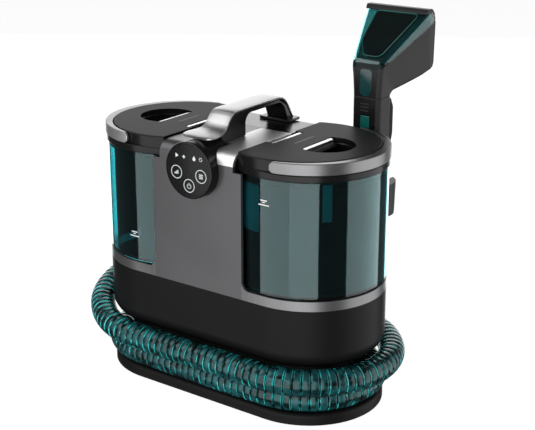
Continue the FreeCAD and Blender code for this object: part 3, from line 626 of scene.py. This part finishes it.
# where the dark sheet of painted shade stands inside each tank
SHADE_SHEET_LOW, SHADE_SHEET_HIGH, SHADE_SHEET_FLAT = 152.4, 272, 56
# how far the patches of painted reflection stand off the dark sheet
REFLECTION_LIFT = 0.1
LID_CENTRE, LID_TOP, LATCH_LOW = 82.9, 300, 292.1
LID_TOP_FACE = 0.2983  # in metres; the lid's flat top is grey above this, and the rest is black
TRIM_RADIUS, TRIM_INNER, TRIM_LOW, TRIM_HIGH, TRIM_START = 87.8, 85.2, 286.8, 299.6, 97.2
RECESS_CENTRE, BAR_HALF = 111, 26.6


def both_sides(side):
    """The function that takes a shape made for the right-hand tank to the side asked for."""
    return (lambda shape: shape) if side == "clean" else mirrored


def arc_band(start, end, radius, low, high, lift=0.1, rise=0, parts=12):
    """A thin band on a tank's round wall, between two angles in degrees and two heights, rising along its way."""
    rings = []
    for i in range(parts + 1):
        a = math.radians(start + (end - start) * i / parts)
        rings.append([((ROUND_CENTRE + r * math.cos(a)) * MM, r * math.sin(a) * MM, (z + rise * i / parts) * MM)
                      for r, z in ((radius, low), (radius + lift, low), (radius + lift, high), (radius, high))])
    return loft(rings)


def make_tank(side):
    """A clear tank with a dark sheet of painted shade inside, lighter patches of painted reflection on it, and its
    level mark.
    """
    on = both_sides(side)
    body = side + "_tank"
    inside = TANK_RADIUS - TANK_WALL
    wall = [d_ring(ROUND_CENTRE, r, flat, z) for r, flat, z in (
        (84.5, TANK_FLAT + 1.5, TANK_LOW), (85.6, TANK_FLAT + 0.4, TANK_LOW + 0.5),
        (TANK_RADIUS, TANK_FLAT, TANK_LOW + 2), (TANK_RADIUS, TANK_FLAT, TANK_HIGH),
        (inside, TANK_FLAT + TANK_WALL, TANK_HIGH), (inside, TANK_FLAT + TANK_WALL, TANK_FLOOR))]
    made(body, [on(loft(wall))], body, "tank_tint", [body + "_shell"])

    # a dark sheet inside the clear wall, painted shade, with lighter patches of painted reflection on it
    radius, mark, height = (83.1, -90, 250) if side == "clean" else (79, -89, 178)
    shade_sheet = [d_ring(ROUND_CENTRE, r, flat, z) for r, flat, z in (
        (radius, SHADE_SHEET_FLAT, SHADE_SHEET_LOW), (radius, SHADE_SHEET_FLAT, SHADE_SHEET_HIGH),
        (radius - 1, SHADE_SHEET_FLAT + 1, SHADE_SHEET_HIGH), (radius - 1, SHADE_SHEET_FLAT + 1, SHADE_SHEET_LOW + 0.6))]
    made(body + "_painted_shade_sheet", [on(loft(shade_sheet))], body, "tank_tint", width=0, material=PAINTED_SHADE_DARK)
    foot = radius + REFLECTION_LIFT
    if side == "clean":
        reflections = [arc_band(-40, -47, foot, 236, 276, 0.2), arc_band(-112, -95, foot, 218, 270, 0.2),
                 prism(box(-60, 218, 4, 270), SHADE_SHEET_FLAT - 0.8, SHADE_SHEET_FLAT - 0.2, "yz")]
    else:
        reflections = [arc_band(-18, -34, foot, 170, 276, 0.3), arc_band(-55, -92, foot, 152, 161, 0.3, rise=26)]
    made(body + "_painted_reflections", [on(reflection) for reflection in reflections], body, "tank_tint", width=0, material=PAINTED_REFLECTION_TEAL)

    # the level mark: a long line with two short ones over it
    level = [on(arc_band(mark - half, mark + half, TANK_RADIUS, height + low, height + high))
             for half, low, high in ((4.5, 0, 1.2), (1.2, 3.0, 4.0), (2.8, 5.0, 6.2))]
    made(side + "_level_mark", level, body, "tank_tint", width=0, material=MARKS)


def trim_shape():
    """The silver band that wraps the outer end of the lid, with rounded ends."""
    middle, half = (TRIM_LOW + TRIM_HIGH) / 2, (TRIM_HIGH - TRIM_LOW) / 2
    first = math.degrees(math.acos((TRIM_START - ROUND_CENTRE) / TRIM_RADIUS))
    # short steps over the rounded ends, longer ones between them
    angles = [-first * (1 - k / 150) for k in range(26)]
    angles += [-first * (1 - 1 / 6) * (1 - k / 32) for k in range(1, 65)]
    angles += [first * (5 / 6 + k / 150) for k in range(1, 26)]
    gap = ROUND_CENTRE - LID_CENTRE
    rings = []
    for angle in angles:
        a = math.radians(angle)
        direction = Vector((math.cos(a), math.sin(a)))
        outside = Vector((ROUND_CENTRE, 0)) + direction * TRIM_RADIUS
        along_x = outside.x - TRIM_START + 0.1
        tall = half if along_x >= half else math.sqrt(max(0.3, half ** 2 - (half - along_x) ** 2))
        # where the same direction from the outer centre meets the inner circle
        reach = -gap * direction.x + math.sqrt((gap * direction.x) ** 2 - gap ** 2 + TRIM_INNER ** 2)
        inside = Vector((ROUND_CENTRE, 0)) + direction * reach
        rings.append([(p.x * MM, p.y * MM, (middle + s * tall) * MM)
                      for p, s in ((inside, -1), (outside, -1), (outside, 1), (inside, 1))])
    return loft(rings)


def make_lid(side):
    """A tank's lid with its trim, grip bar, latch and marks."""
    on = both_sides(side)
    lid, latch = side + "_lid", side + "_latch"
    block = [d_ring(ROUND_CENTRE, r, 51.3, z)
             for r, z in ((86.8, 279.3), (87.2, 279.8), (87.2, 286.1), (86.7, 286.5))]
    block += [d_ring(LID_CENTRE, r, 51.4, z)
              for r, z in ((84.3, 286.5), (84.3, 298.6), (84.05, 299.4), (83.6, 299.85), (82.9, LID_TOP))]
    recess = [(RECESS_CENTRE + 32 * math.cos(a), 32 * math.sin(a))
              for a in (math.radians(-113.9 + 227.8 * k / 60) for k in range(61))]
    notch = [(50, -28), (62.6, -28, 1.5), (62.6, 28, 1.5), (50, 28)]
    cutters = [on(prism(rounded_outline(outline), floor, LID_TOP + 5, "xy"))
               for outline, floor in ((recess, 287), (notch, 288))]
    piece = made(lid + "_shell", [on(loft(block))], lid, "lid_grey", [lid], width=0, cutters=cutters)
    piece.data.materials.clear()
    for material in (FINISHES["lid_grey"], SIDE_BLACK):
        piece.data.materials.append(material)
    for polygon in piece.data.polygons:
        top = polygon.center.z > LID_TOP_FACE and polygon.normal.z > 0.2
        polygon.material_index = 0 if top else 1
    bevelled(piece, 0.0005, 40, 2)
    # the left lid's trim takes the lighter copy, painted light
    made(side + "_trim", [on(trim_shape())], lid, "bright_trim", [lid + "_trim"], width=0.0009, angle=50,
         material=LEFT_TRIM_PAINTED_LIGHTER if side == "dirty" else None)

    # the bar across the grip recess, and the latch
    bar = rounded_outline([(98.3, 297.4), (98.3, 299.5, 0.5), (102.6, 298.9, 0.5), (102.6, 297.0)])
    plate = [(98.3, 297.0), (102.8, 296.6), (108.8, 293.8), (108.8, 291.4), (98.3, 295.4)]
    made(side + "_bar", [on(prism(bar, -BAR_HALF, BAR_HALF, "xz"))], lid, "bright_trim", [side + "_grip_bar"],
         width=0.0004, material=BAR_BRIGHT)
    made(side + "_bar_plate", [on(prism(plate, -BAR_HALF, BAR_HALF, "xz"))], lid, "bright_trim", width=0.0005,
         material=SIDE_BLACK)
    made(latch + "_bar", [on(prism(box(57.3, -26, 62.2, 26), LATCH_LOW, 299.5, "xy"))], latch, "bright_trim",
         [latch], material=BAR_BRIGHT)
    made(latch + "_tongue", [on(prism(box(51.7, -18, 57.2, 18), LATCH_LOW, 295, "xy"))], latch, "bright_trim",
         material=SIDE_BLACK)

    # a faint printed line beside the latch, and the step round the recess
    made(lid + "_line", [on(prism(box(80.6, -16, 81.3, 20), LID_TOP, LID_TOP + 0.08, "xy"))], lid, "lid_grey",
         width=0, material=FAINT_MARKS)
    ledge = loft([[((RECESS_CENTRE + r * math.cos(a)) * MM, r * math.sin(a) * MM, z * MM)
                   for r, z in ((30.8, 290), (31.9, 290), (31.9, 294.6), (30.8, 293.6))]
                  for a in (math.radians(-105 + 210 * k / 48) for k in range(49))])
    made(side + "_recess_step", [on(ledge)], lid, "lid_grey", width=0.0003, material=SIDE_BLACK)


for side in ("clean", "dirty"):
    make_tank(side)
    make_lid(side)


# ---------------------------------------------------------------- control disc housing and handle

def turned(profile, x, z, parts=96):
    """A shape turned about the front-to-back line through (x, z); the profile is (y, radius)."""
    turns = [2 * math.pi * k / parts for k in range(parts)]
    vertices = [((x + r * math.cos(a)) * MM, y * MM, (z + r * math.sin(a)) * MM) for a in turns for y, r in profile]
    count = len(profile)
    faces = [(k * count + i, k * count + (i + 1) % count, (k + 1) % parts * count + (i + 1) % count,
              (k + 1) % parts * count + i) for k in range(parts) for i in range(count)]
    return vertices, faces


POD_HEIGHT = 275


def make_pod():
    """The round housing of the control disc, and its glass."""
    housing = [(-98.6, 29.3), (-98.6, 30.4), (-98.1, 31.2), (-97.2, 31.6), (-96, 31.7), (-58.3, 31.7), (-58.3, 27),
               (-94, 27), (-94, 29.3)]
    made("pod_body", [turned(housing, 0, POD_HEIGHT)], "machine", "black_gloss", ["pod_housing"], width=0)
    glass = [(-98.75, 0.01), (-98.75, 28.6), (-98.6, 29.0), (-96.4, 29.0), (-96.4, 0.01)]
    made("pod_face", [turned(glass, 0, POD_HEIGHT)], "machine", "touch_glass", ["pod_glass"], width=0)


def smooth_path(stations, parts=8):
    """Catmull-Rom interpolation through tuples of numbers."""
    out = []
    for i in range(len(stations) - 1):
        a, b, c, d = (stations[max(0, min(len(stations) - 1, i + k))] for k in (-1, 0, 1, 2))
        for k in range(parts):
            t = k / parts
            out.append(tuple(0.5 * (2 * q + (r - p) * t + (2 * p - 5 * q + 4 * r - s) * t * t
                                    + (3 * q - p - 3 * r + s) * t ** 3) for p, q, r, s in zip(a, b, c, d)))
    out.append(tuple(stations[-1]))
    return out


HANDLE_LINE = [  # along the skin's top from the back foot to the front lip: y, z, half width
    (77.4, 301.7, 15), (72.5, 310, 15), (66.5, 319.5, 15), (59.5, 326.6, 15), (49, 330, 15), (20, 330.2, 15),
    (-10, 330.2, 15), (-33, 329.8, 15), (-40.5, 326.8, 15), (-46, 321.6, 15.1), (-50.5, 316.4, 15.6),
    (-56, 312.8, 17), (-63, 311.6, 19.5), (-71, 311.4, 21.6), (-78, 311.1, 21.4), (-83, 310.7, 19.4),
    (-85.6, 310.2, 15.5),
]
SKIN_THICKNESS, CROWN, EDGE_DROP = 2.9, 0.7, 1.0
FRAME_LOW, FRAME_HALF = 298.25, 14.3


def make_handle():
    """The silver skin over the top, and the black frame under it."""
    line = smooth_path(HANDLE_LINE, 6)
    rings = []
    for i, (y, z, half) in enumerate(line):
        ahead = Vector(line[min(i + 1, len(line) - 1)][:2]) - Vector(line[max(i - 1, 0)][:2])
        normal = Vector((ahead.y, -ahead.x)).normalized()
        profile = [(-half + 0.5, EDGE_DROP)]
        profile += [(-half + k * half / 4, CROWN * (k / 4 - 1) ** 2) for k in range(1, 8)]
        profile += [(half - 0.5, EDGE_DROP), (half, 1.7), (half - 0.2, SKIN_THICKNESS - 0.5),
                    (half - 0.9, SKIN_THICKNESS), (-half + 0.9, SKIN_THICKNESS),
                    (-half + 0.2, SKIN_THICKNESS - 0.5), (-half, 1.7)]
        rings.append([(u * MM, (y - normal.x * v) * MM, (z - normal.y * v) * MM) for u, v in profile])
    made("handle_top", [loft(rings)], "machine", "handle_silver", ["handle_skin"], width=0)

    core = rounded_outline([
        (-57.9, FRAME_LOW), (-57.9, 306.9, 1), (-49.6, 310.6, 3), (-43.6, 319.6, 5), (-33.5, 326.9, 9),
        (48, 326.9, 10), (62.4, 318.4, 9), (75.6, FRAME_LOW), (66, FRAME_LOW), (58.5, 315.5, 7), (51, 322.6, 9),
        (-15, 322.6, 11), (-15, FRAME_LOW),
    ])
    foot = rounded_outline([(-21.5, 58, 2), (21.5, 58, 2), (21.5, 82, 4), (-21.5, 82, 4)])
    made("handle_frame", [prism(core, -FRAME_HALF, FRAME_HALF, "yz")], "machine", "black_gloss", ["handle_core"],
         width=0.0008)
    made("handle_foot", [prism(foot, FRAME_LOW, FRAME_LOW + 3, "xy")], "machine", "black_gloss", width=0.0007)


make_pod()
make_handle()


# ---------------------------------------------------------------- hand tool

TOOL_X = 100.2
# the clear cover meets the grey shell in a plane that rises towards the back
SPLIT_POINT, SPLIT_NORMAL = (0, 0.098, 0.367), (0, -0.597, 1)
COVER_OUT = (0, -0.61, 0.79)
COVER_START, COVER_RUN, COVER_LENGTH = (98, 373.4), (64, 49.5), 81
PLATE_THICKNESS = 0.3
FACE_FRONT, WINDOW_FRONT = 94.55, 94.0
COVER_FOOT = 0.371  # in metres; the cover is black below this
HEAD_WALL = 0.0022
AIRWAY_INSET = 4.2
MOUTH_HALF, MOUTH_TOP, MOUTH_TAPER = 0.0412, 0.161, 0.33


def rounded_section(front, back, half, corner, parts=6):
    """A ring of points round the tool: front and back are (y, z) in the middle plane, half is its half width."""
    (y0, z0), (y1, z1) = front, back
    down = Vector((y1 - y0, z1 - z0))
    deep = down.length
    down.normalize()
    ring = []
    for su, sv, start in ((1, 0, -90), (1, 1, 0), (-1, 1, 90), (-1, 0, 180)):
        cu = su * (half - corner)
        cv = deep - corner if sv else corner
        for k in range(parts + 1):
            a = math.radians(start + 90 * k / parts)
            u, v = cu + corner * math.cos(a), cv + corner * math.sin(a)
            ring.append(((TOOL_X + u) * MM, (y0 + down.x * v) * MM, (z0 + down.y * v) * MM))
    return ring


HEAD_LINE = [  # front y, front z, back y, back z, half width, corner radius
    (95, 332.3, 123, 332.3, 18.5, 7), (95, 345, 123.2, 332.9, 18.9, 7), (95.2, 358, 124, 334, 19.5, 7),
    (96, 371, 126.5, 336.3, 20.8, 7), (108, 382, 133, 339.5, 25, 6.5), (122, 393, 141, 342.8, 29.5, 6.5),
    (135, 403, 149, 346, 33.5, 6.3), (150, 414.5, 158.5, 350, 38, 6), (161, 423, 165.5, 353.4, 41, 6),
    (167, 426, 169.5, 355, 41.8, 5.5), (171.5, 422.5, 172.6, 357, 42, 5), (175.2, 414, 174.3, 361, 41.8, 4.5),
]


def head_rings(inset):
    """Rings of the tool head along its smooth length, drawn in by inset."""
    rings = []
    for y0, z0, y1, z1, half, corner in smooth_path(HEAD_LINE, 4):
        down = Vector((y1 - y0, z1 - z0)).normalized() * inset
        rings.append(rounded_section((y0 + down.x, z0 + down.y), (y1 - down.x, z1 - down.y), half - inset,
                                     max(1.2, corner - inset)))
    return rings


def cut_above(shape, above):
    """Cut an open shape where the cover meets the shell, and keep the side above or below that."""
    mesh = mesh_of("cut", *shape)
    work = bmesh.new()
    work.from_mesh(mesh)
    cut_through(work, SPLIT_POINT, Vector(SPLIT_NORMAL).normalized(), clear_outer=not above, clear_inner=above)
    work.verts.index_update()
    vertices = [tuple(v.co) for v in work.verts]
    faces = [tuple(v.index for v in f.verts) for f in work.faces]
    work.free()
    bpy.data.meshes.remove(mesh)
    return vertices, faces


def thickened(name, shape, slot, replaced):
    """An open skin of the tool head given an inward thickness."""
    mesh = finished(name, [shape], FINISHES[slot])
    piece = add_piece(name, mesh, "tool_head", slot, replaced)
    wall = piece.modifiers.new("wall", "SOLIDIFY")
    wall.thickness = HEAD_WALL
    wall.offset = -1
    wall.use_even_offset = True
    apply_modifiers(piece)
    bevelled(piece, 0.0005, 45, 2)
    return piece


def make_head():
    """The detachable head: grey shell, clear cover, dark airway behind it, and the mouth's lip."""
    rings = head_rings(0)
    around = len(rings[0])
    skin = loft(rings, capped=False)
    mouth = tuple(range((len(rings) - 1) * around, len(rings) * around))
    thickened("head_body", cut_above((skin[0], skin[1] + [mouth]), False), "tool_grey", "head_shell")
    bonnet = thickened("head_bonnet", cut_above(skin, True), "cover_tint", "head_cover")
    bonnet.data.materials.append(HEAD_BLACK)
    for polygon in bonnet.data.polygons:
        if polygon.center.z < COVER_FOOT:
            polygon.material_index = 1
    made("head_airway", [loft(head_rings(AIRWAY_INSET))], "tool_head", "tool_grey", width=0, material=HEAD_INSIDE)
    # the mouth's grey lip along the cover's top edge, as wide as the head under it
    lip = rounded_outline([(157.0, 420.4), (156.2, 422.6, 0.8), (160.8, 426.0, 2), (169, 426.0, 2), (173.5, 421.5, 2),
                           (176.6, 413.5, 1), (173, 413.5), (168.2, 420.5), (163, 421.5)])
    vertices, faces = prism(lip, -1, 1, "yz")
    vertices = [(TOOL_X * MM + math.copysign(MOUTH_HALF - MOUTH_TAPER * max(0, MOUTH_TOP - y), x), y, z)
                for x, y, z in vertices]
    made("head_lip", [(vertices, faces)], "tool_head", "tool_grey", width=0.0009)


def on_cover(u, along_cover, lift):
    """A point over the cover's flat front: u across from its middle, and so far up from its foot, all in mm."""
    share = along_cover / COVER_LENGTH
    y, z = (start + run * share for start, run in zip(COVER_START, COVER_RUN))
    return Vector(((TOOL_X + u) * MM, (y + COVER_OUT[1] * lift) * MM, (z + COVER_OUT[2] * lift) * MM))


def raised_line(name, points, radius, material):
    """A closed raised bead along points on the cover."""
    count = len(points)
    rings = []
    for i, point in enumerate(points):
        ahead = (points[(i + 1) % count] - points[i - 1]).normalized()
        side = ahead.cross(Vector(COVER_OUT)).normalized()
        up = side.cross(ahead)
        rings.append([tuple(point + radius * (side * math.cos(a) + up * math.sin(a)))
                      for a in (2 * math.pi * k / 8 for k in range(8))])
    made(name, [loft(rings + [rings[0]], capped=False)], "tool_head", "cover_tint", width=0, material=material)


def cover_plate(name, outline, lift, material):
    """A thin plate parallel to the cover's front."""
    rings = [[tuple(on_cover(p.x, p.y, level)) for p in outline] for level in (lift - PLATE_THICKNESS, lift)]
    made(name, [loft(rings)], "tool_head", "cover_tint", width=0, material=material)


def cover_outline(corners, step=6):
    """An outline on the cover; corners are across in mm, share of the cover's length, and a radius if rounded."""
    return rounded_outline([(u, share * COVER_LENGTH, *radius) for u, share, *radius in corners], step)


def make_window():
    """The dark rounded three-sided window under the cover, the bead that frames it, and a pale sheet beside it, a
    painted reflection.
    """
    flat = cover_outline([(-24, 0.93, 4), (31, 0.93, 5), (13, 0.08, 9), (-8, 0.08, 8), (-22, 0.36, 16)], 10)
    raised_line("cover_bead", [on_cover(p.x, p.y, 1.15) for p in flat], 0.0006, FINISHES["teal_button"])
    cover_plate("head_window_dark", flat, -1.8, HEAD_BLACK)
    # a pale sheet under the cover's left edge: painted reflection
    edge = cover_outline([(-37, 0.95), (-25, 0.95), (-23.5, 0.36), (-17.5, 0.12), (-19, 0.10)])
    cover_plate("head_window_painted_reflection", edge, -1.9, HEAD_PAINTED_REFLECTION)


def tool_outline(corners):
    """A rounded outline whose first coordinates are from the tool's middle."""
    return rounded_outline([(TOOL_X + u, *rest) for u, *rest in corners])


def make_grip():
    """The hand tool's grip, its glossy front and its trigger."""
    trigger_cut = prism(tool_outline(box(-13.1, 112, 13.1, 140)), 259, 328, "xy")
    button_cut = prism(tool_outline(box(-6.3, 90, 6.3, 102)), 289.7, 311.3, "xy")
    made("grip_body", [prism(tool_outline(box(-18.5, 95, 18.5, 123, 7)), 216, 331.9, "xy")], "tool", "tool_grey",
         ["tool_grip"], cutters=[trigger_cut, button_cut])
    # glossy black fronts with the button's surround, the ridges and the clear window
    face = tool_outline([(-14.5, 226, 4), (13.5, 226, 4), (13.5, 331.5), (-14.5, 331.5)])
    made("grip_face", [prism(face, FACE_FRONT, 95.4, "xz")], "tool", "black_gloss", width=0.0004, cutters=[button_cut])
    upper = tool_outline([(-14.5, 332.6), (13.5, 332.6), (14, 366.5, 8), (-15, 366.5, 8)])
    made("head_face", [prism(upper, FACE_FRONT, 95.6, "xz")], "tool_head", "black_gloss", width=0.0004)
    drop = tool_outline([(-7.5, 333.4, 7), (7, 333.4, 7), (8.5, 364.5, 4), (-7.5, 364.5, 4)])
    made("head_window", [prism(drop, WINDOW_FRONT, 95.0, "xz")], "tool_head", "cover_tint", width=0.0003,
         material=WINDOW_TEAL)
    ridges = [prism(tool_outline(box(-6, z, 5, z + 1.4, 0.5)), WINDOW_FRONT, 94.8, "xz") for z in (316, 320, 324)]
    made("grip_ridges", ridges, "tool", "tool_grey", width=0.0002)
    lever = rounded_outline([(117.2, 319.5, 1.5), (117.2, 326.5, 2), (131, 327, 3), (137, 316, 10), (137, 284, 14),
                             (130, 262, 3), (123.3, 262), (123.3, 317)])
    made("trigger_lever", [prism(lever, TOOL_X - 12.5, TOOL_X + 12.5, "yz")], "trigger", "black_shell",
         ["tool_trigger"], width=0.0012)


make_head()
make_window()
make_grip()


# ---------------------------------------------------------------- CAD nodes with softened edges

for node, width in {
    "foot_ring": 0.0005, "base_tray": 0.0006, "main_casing": 0.0005, "silver_bezel": 0.0007,
    "column_shell": 0.0008, "exhaust_grille": 0.0005, "cord_gland": 0.0006, "hose_port": 0.0005,
    "tool_dock": 0.0012, "tool_cuff": 0.0008, "tool_button": 0.0006,
}.items():
    softened(node, width)


# the bezel's top above this height and right of this x carries the painted highlight
HIGHLIGHT_LOW, HIGHLIGHT_SIDE = 0.2845, 0.008
# the band's top, then where its painted sheen starts stepping lighter outwards, and the width of each step
BAND_TOP, SHEEN_START, SHEEN_STEP = 0.155, 0.053, 0.008


def paint_bezel_highlights():
    """Painted light on the bezel: a painted highlight on its top right of the middle, and a painted sheen on its band
    that steps lighter towards either end.
    """
    mesh = bpy.data.objects["silver_bezel_soft"].data
    steps = [SHEEN_START + SHEEN_STEP * i for i in range(len(BAND_PAINTED_SHEEN))]
    cuts = [((0, 0, HIGHLIGHT_LOW), (0, 0, 1)), ((HIGHLIGHT_SIDE, 0, 0), (1, 0, 0))]
    cuts += [((way * step, 0, 0), (1, 0, 0)) for step in steps for way in (1, -1)]
    with editing(mesh) as work:
        for spot, normal in cuts:
            cut_through(work, spot, normal)
        for face in work.faces:
            middle = face.calc_center_median()
            # painted highlight on the top right of the middle
            if middle.z > HIGHLIGHT_LOW and middle.x > HIGHLIGHT_SIDE:
                face.material_index = 1
            # painted sheen on the band, one lighter copy per step outwards
            elif middle.z < BAND_TOP:
                passed = sum(abs(middle.x) > step for step in steps)
                face.material_index = passed + 1 if passed else 0
            else:
                face.material_index = 0
    for material in (SADDLE_PAINTED_HIGHLIGHT, *BAND_PAINTED_SHEEN):
        mesh.materials.append(material)


paint_bezel_highlights()


def make_spring(node):
    """A copy of a spring's CAD node, shown in its place."""
    mesh = NODES[node].data.copy()
    mesh.transform(NODES[node].matrix_world)
    spots = [v.co for v in mesh.vertices]
    x, y = (sum(getattr(s, axis) for s in spots) / len(spots) for axis in "xy")
    piece = put(node + "_coil", mesh)
    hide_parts(node)
    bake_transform(piece)


make_spring("valve_spring")
make_spring("pump_spring")


# ---------------------------------------------------------------- light, floor, world

FLOOR_REACH, FLOOR_GLOW, WORLD_GLOW = 6.0, 0.95, 0.10


def make_floor():
    """A white ground that only the camera sees."""
    mesh = mesh_of("floor", [(x * FLOOR_REACH, y * FLOOR_REACH, 0) for x, y in ((-1, -1), (1, -1), (1, 1), (-1, 1))],
                   [(0, 1, 2, 3)])
    mesh.materials.append(surface("floor", (0.12, 0.12, 0.12), 0.6, bump=0.0, tone=0.01, blotch=0.01,
                                  Specular_IOR_Level=0.0, Emission_Color=(1, 1, 1, 1), Emission_Strength=FLOOR_GLOW))
    floor = put("floor", mesh)
    floor.visible_glossy = False
    floor.visible_diffuse = False
    floor.visible_transmission = False
    floor.visible_shadow = False


def area_light(name, bearing, rise, distance, height, wide, tall, power):
    """A soft box that faces the point at the height over the machine's middle."""
    data = bpy.data.lights.new(name, "AREA")
    data.shape = "RECTANGLE"
    data.size = wide
    data.size_y = tall
    data.energy = power
    light = put(name, data)
    face_target(light, (0, 0, height), bearing, rise, distance)
    light.visible_camera = False


def make_world():
    """White to the camera, and dim to everything else."""
    world = bpy.data.worlds.new("world")
    world.use_nodes = True
    tree = world.node_tree
    background = tree.nodes["Background"]
    background.inputs["Color"].default_value = (1, 1, 1, 1)
    seen = tree.nodes.new("ShaderNodeLightPath")
    strength = tree.nodes.new("ShaderNodeMapRange")
    strength.inputs["To Min"].default_value = WORLD_GLOW
    strength.inputs["To Max"].default_value = 1.0
    tree.links.new(seen.outputs["Is Camera Ray"], strength.inputs["Value"])
    tree.links.new(strength.outputs["Result"], background.inputs["Strength"])
    bpy.context.scene.world = world


make_floor()
make_world()
for box_light in (  # name, bearing, rise, distance, height of the point it faces, width, height, power
    ("left_box", -16, 0, 1.7, 0.2, 1.42, 2.2, 22.5),
    ("front_box", 28, 0, 1.7, 0.2, 1.30, 2.2, 27),
    ("right_box", 121, 0, 1.7, 0.2, 2.10, 2.2, 31),
    ("back_box", 214, 0, 2.2, 0.35, 2.6, 2.6, 50),
    ("high_box", -50, 44, 2.0, 0.3, 1.3, 1.3, 16),
):
    area_light(*box_light)
bpy.context.scene.view_settings.view_transform = "Standard"
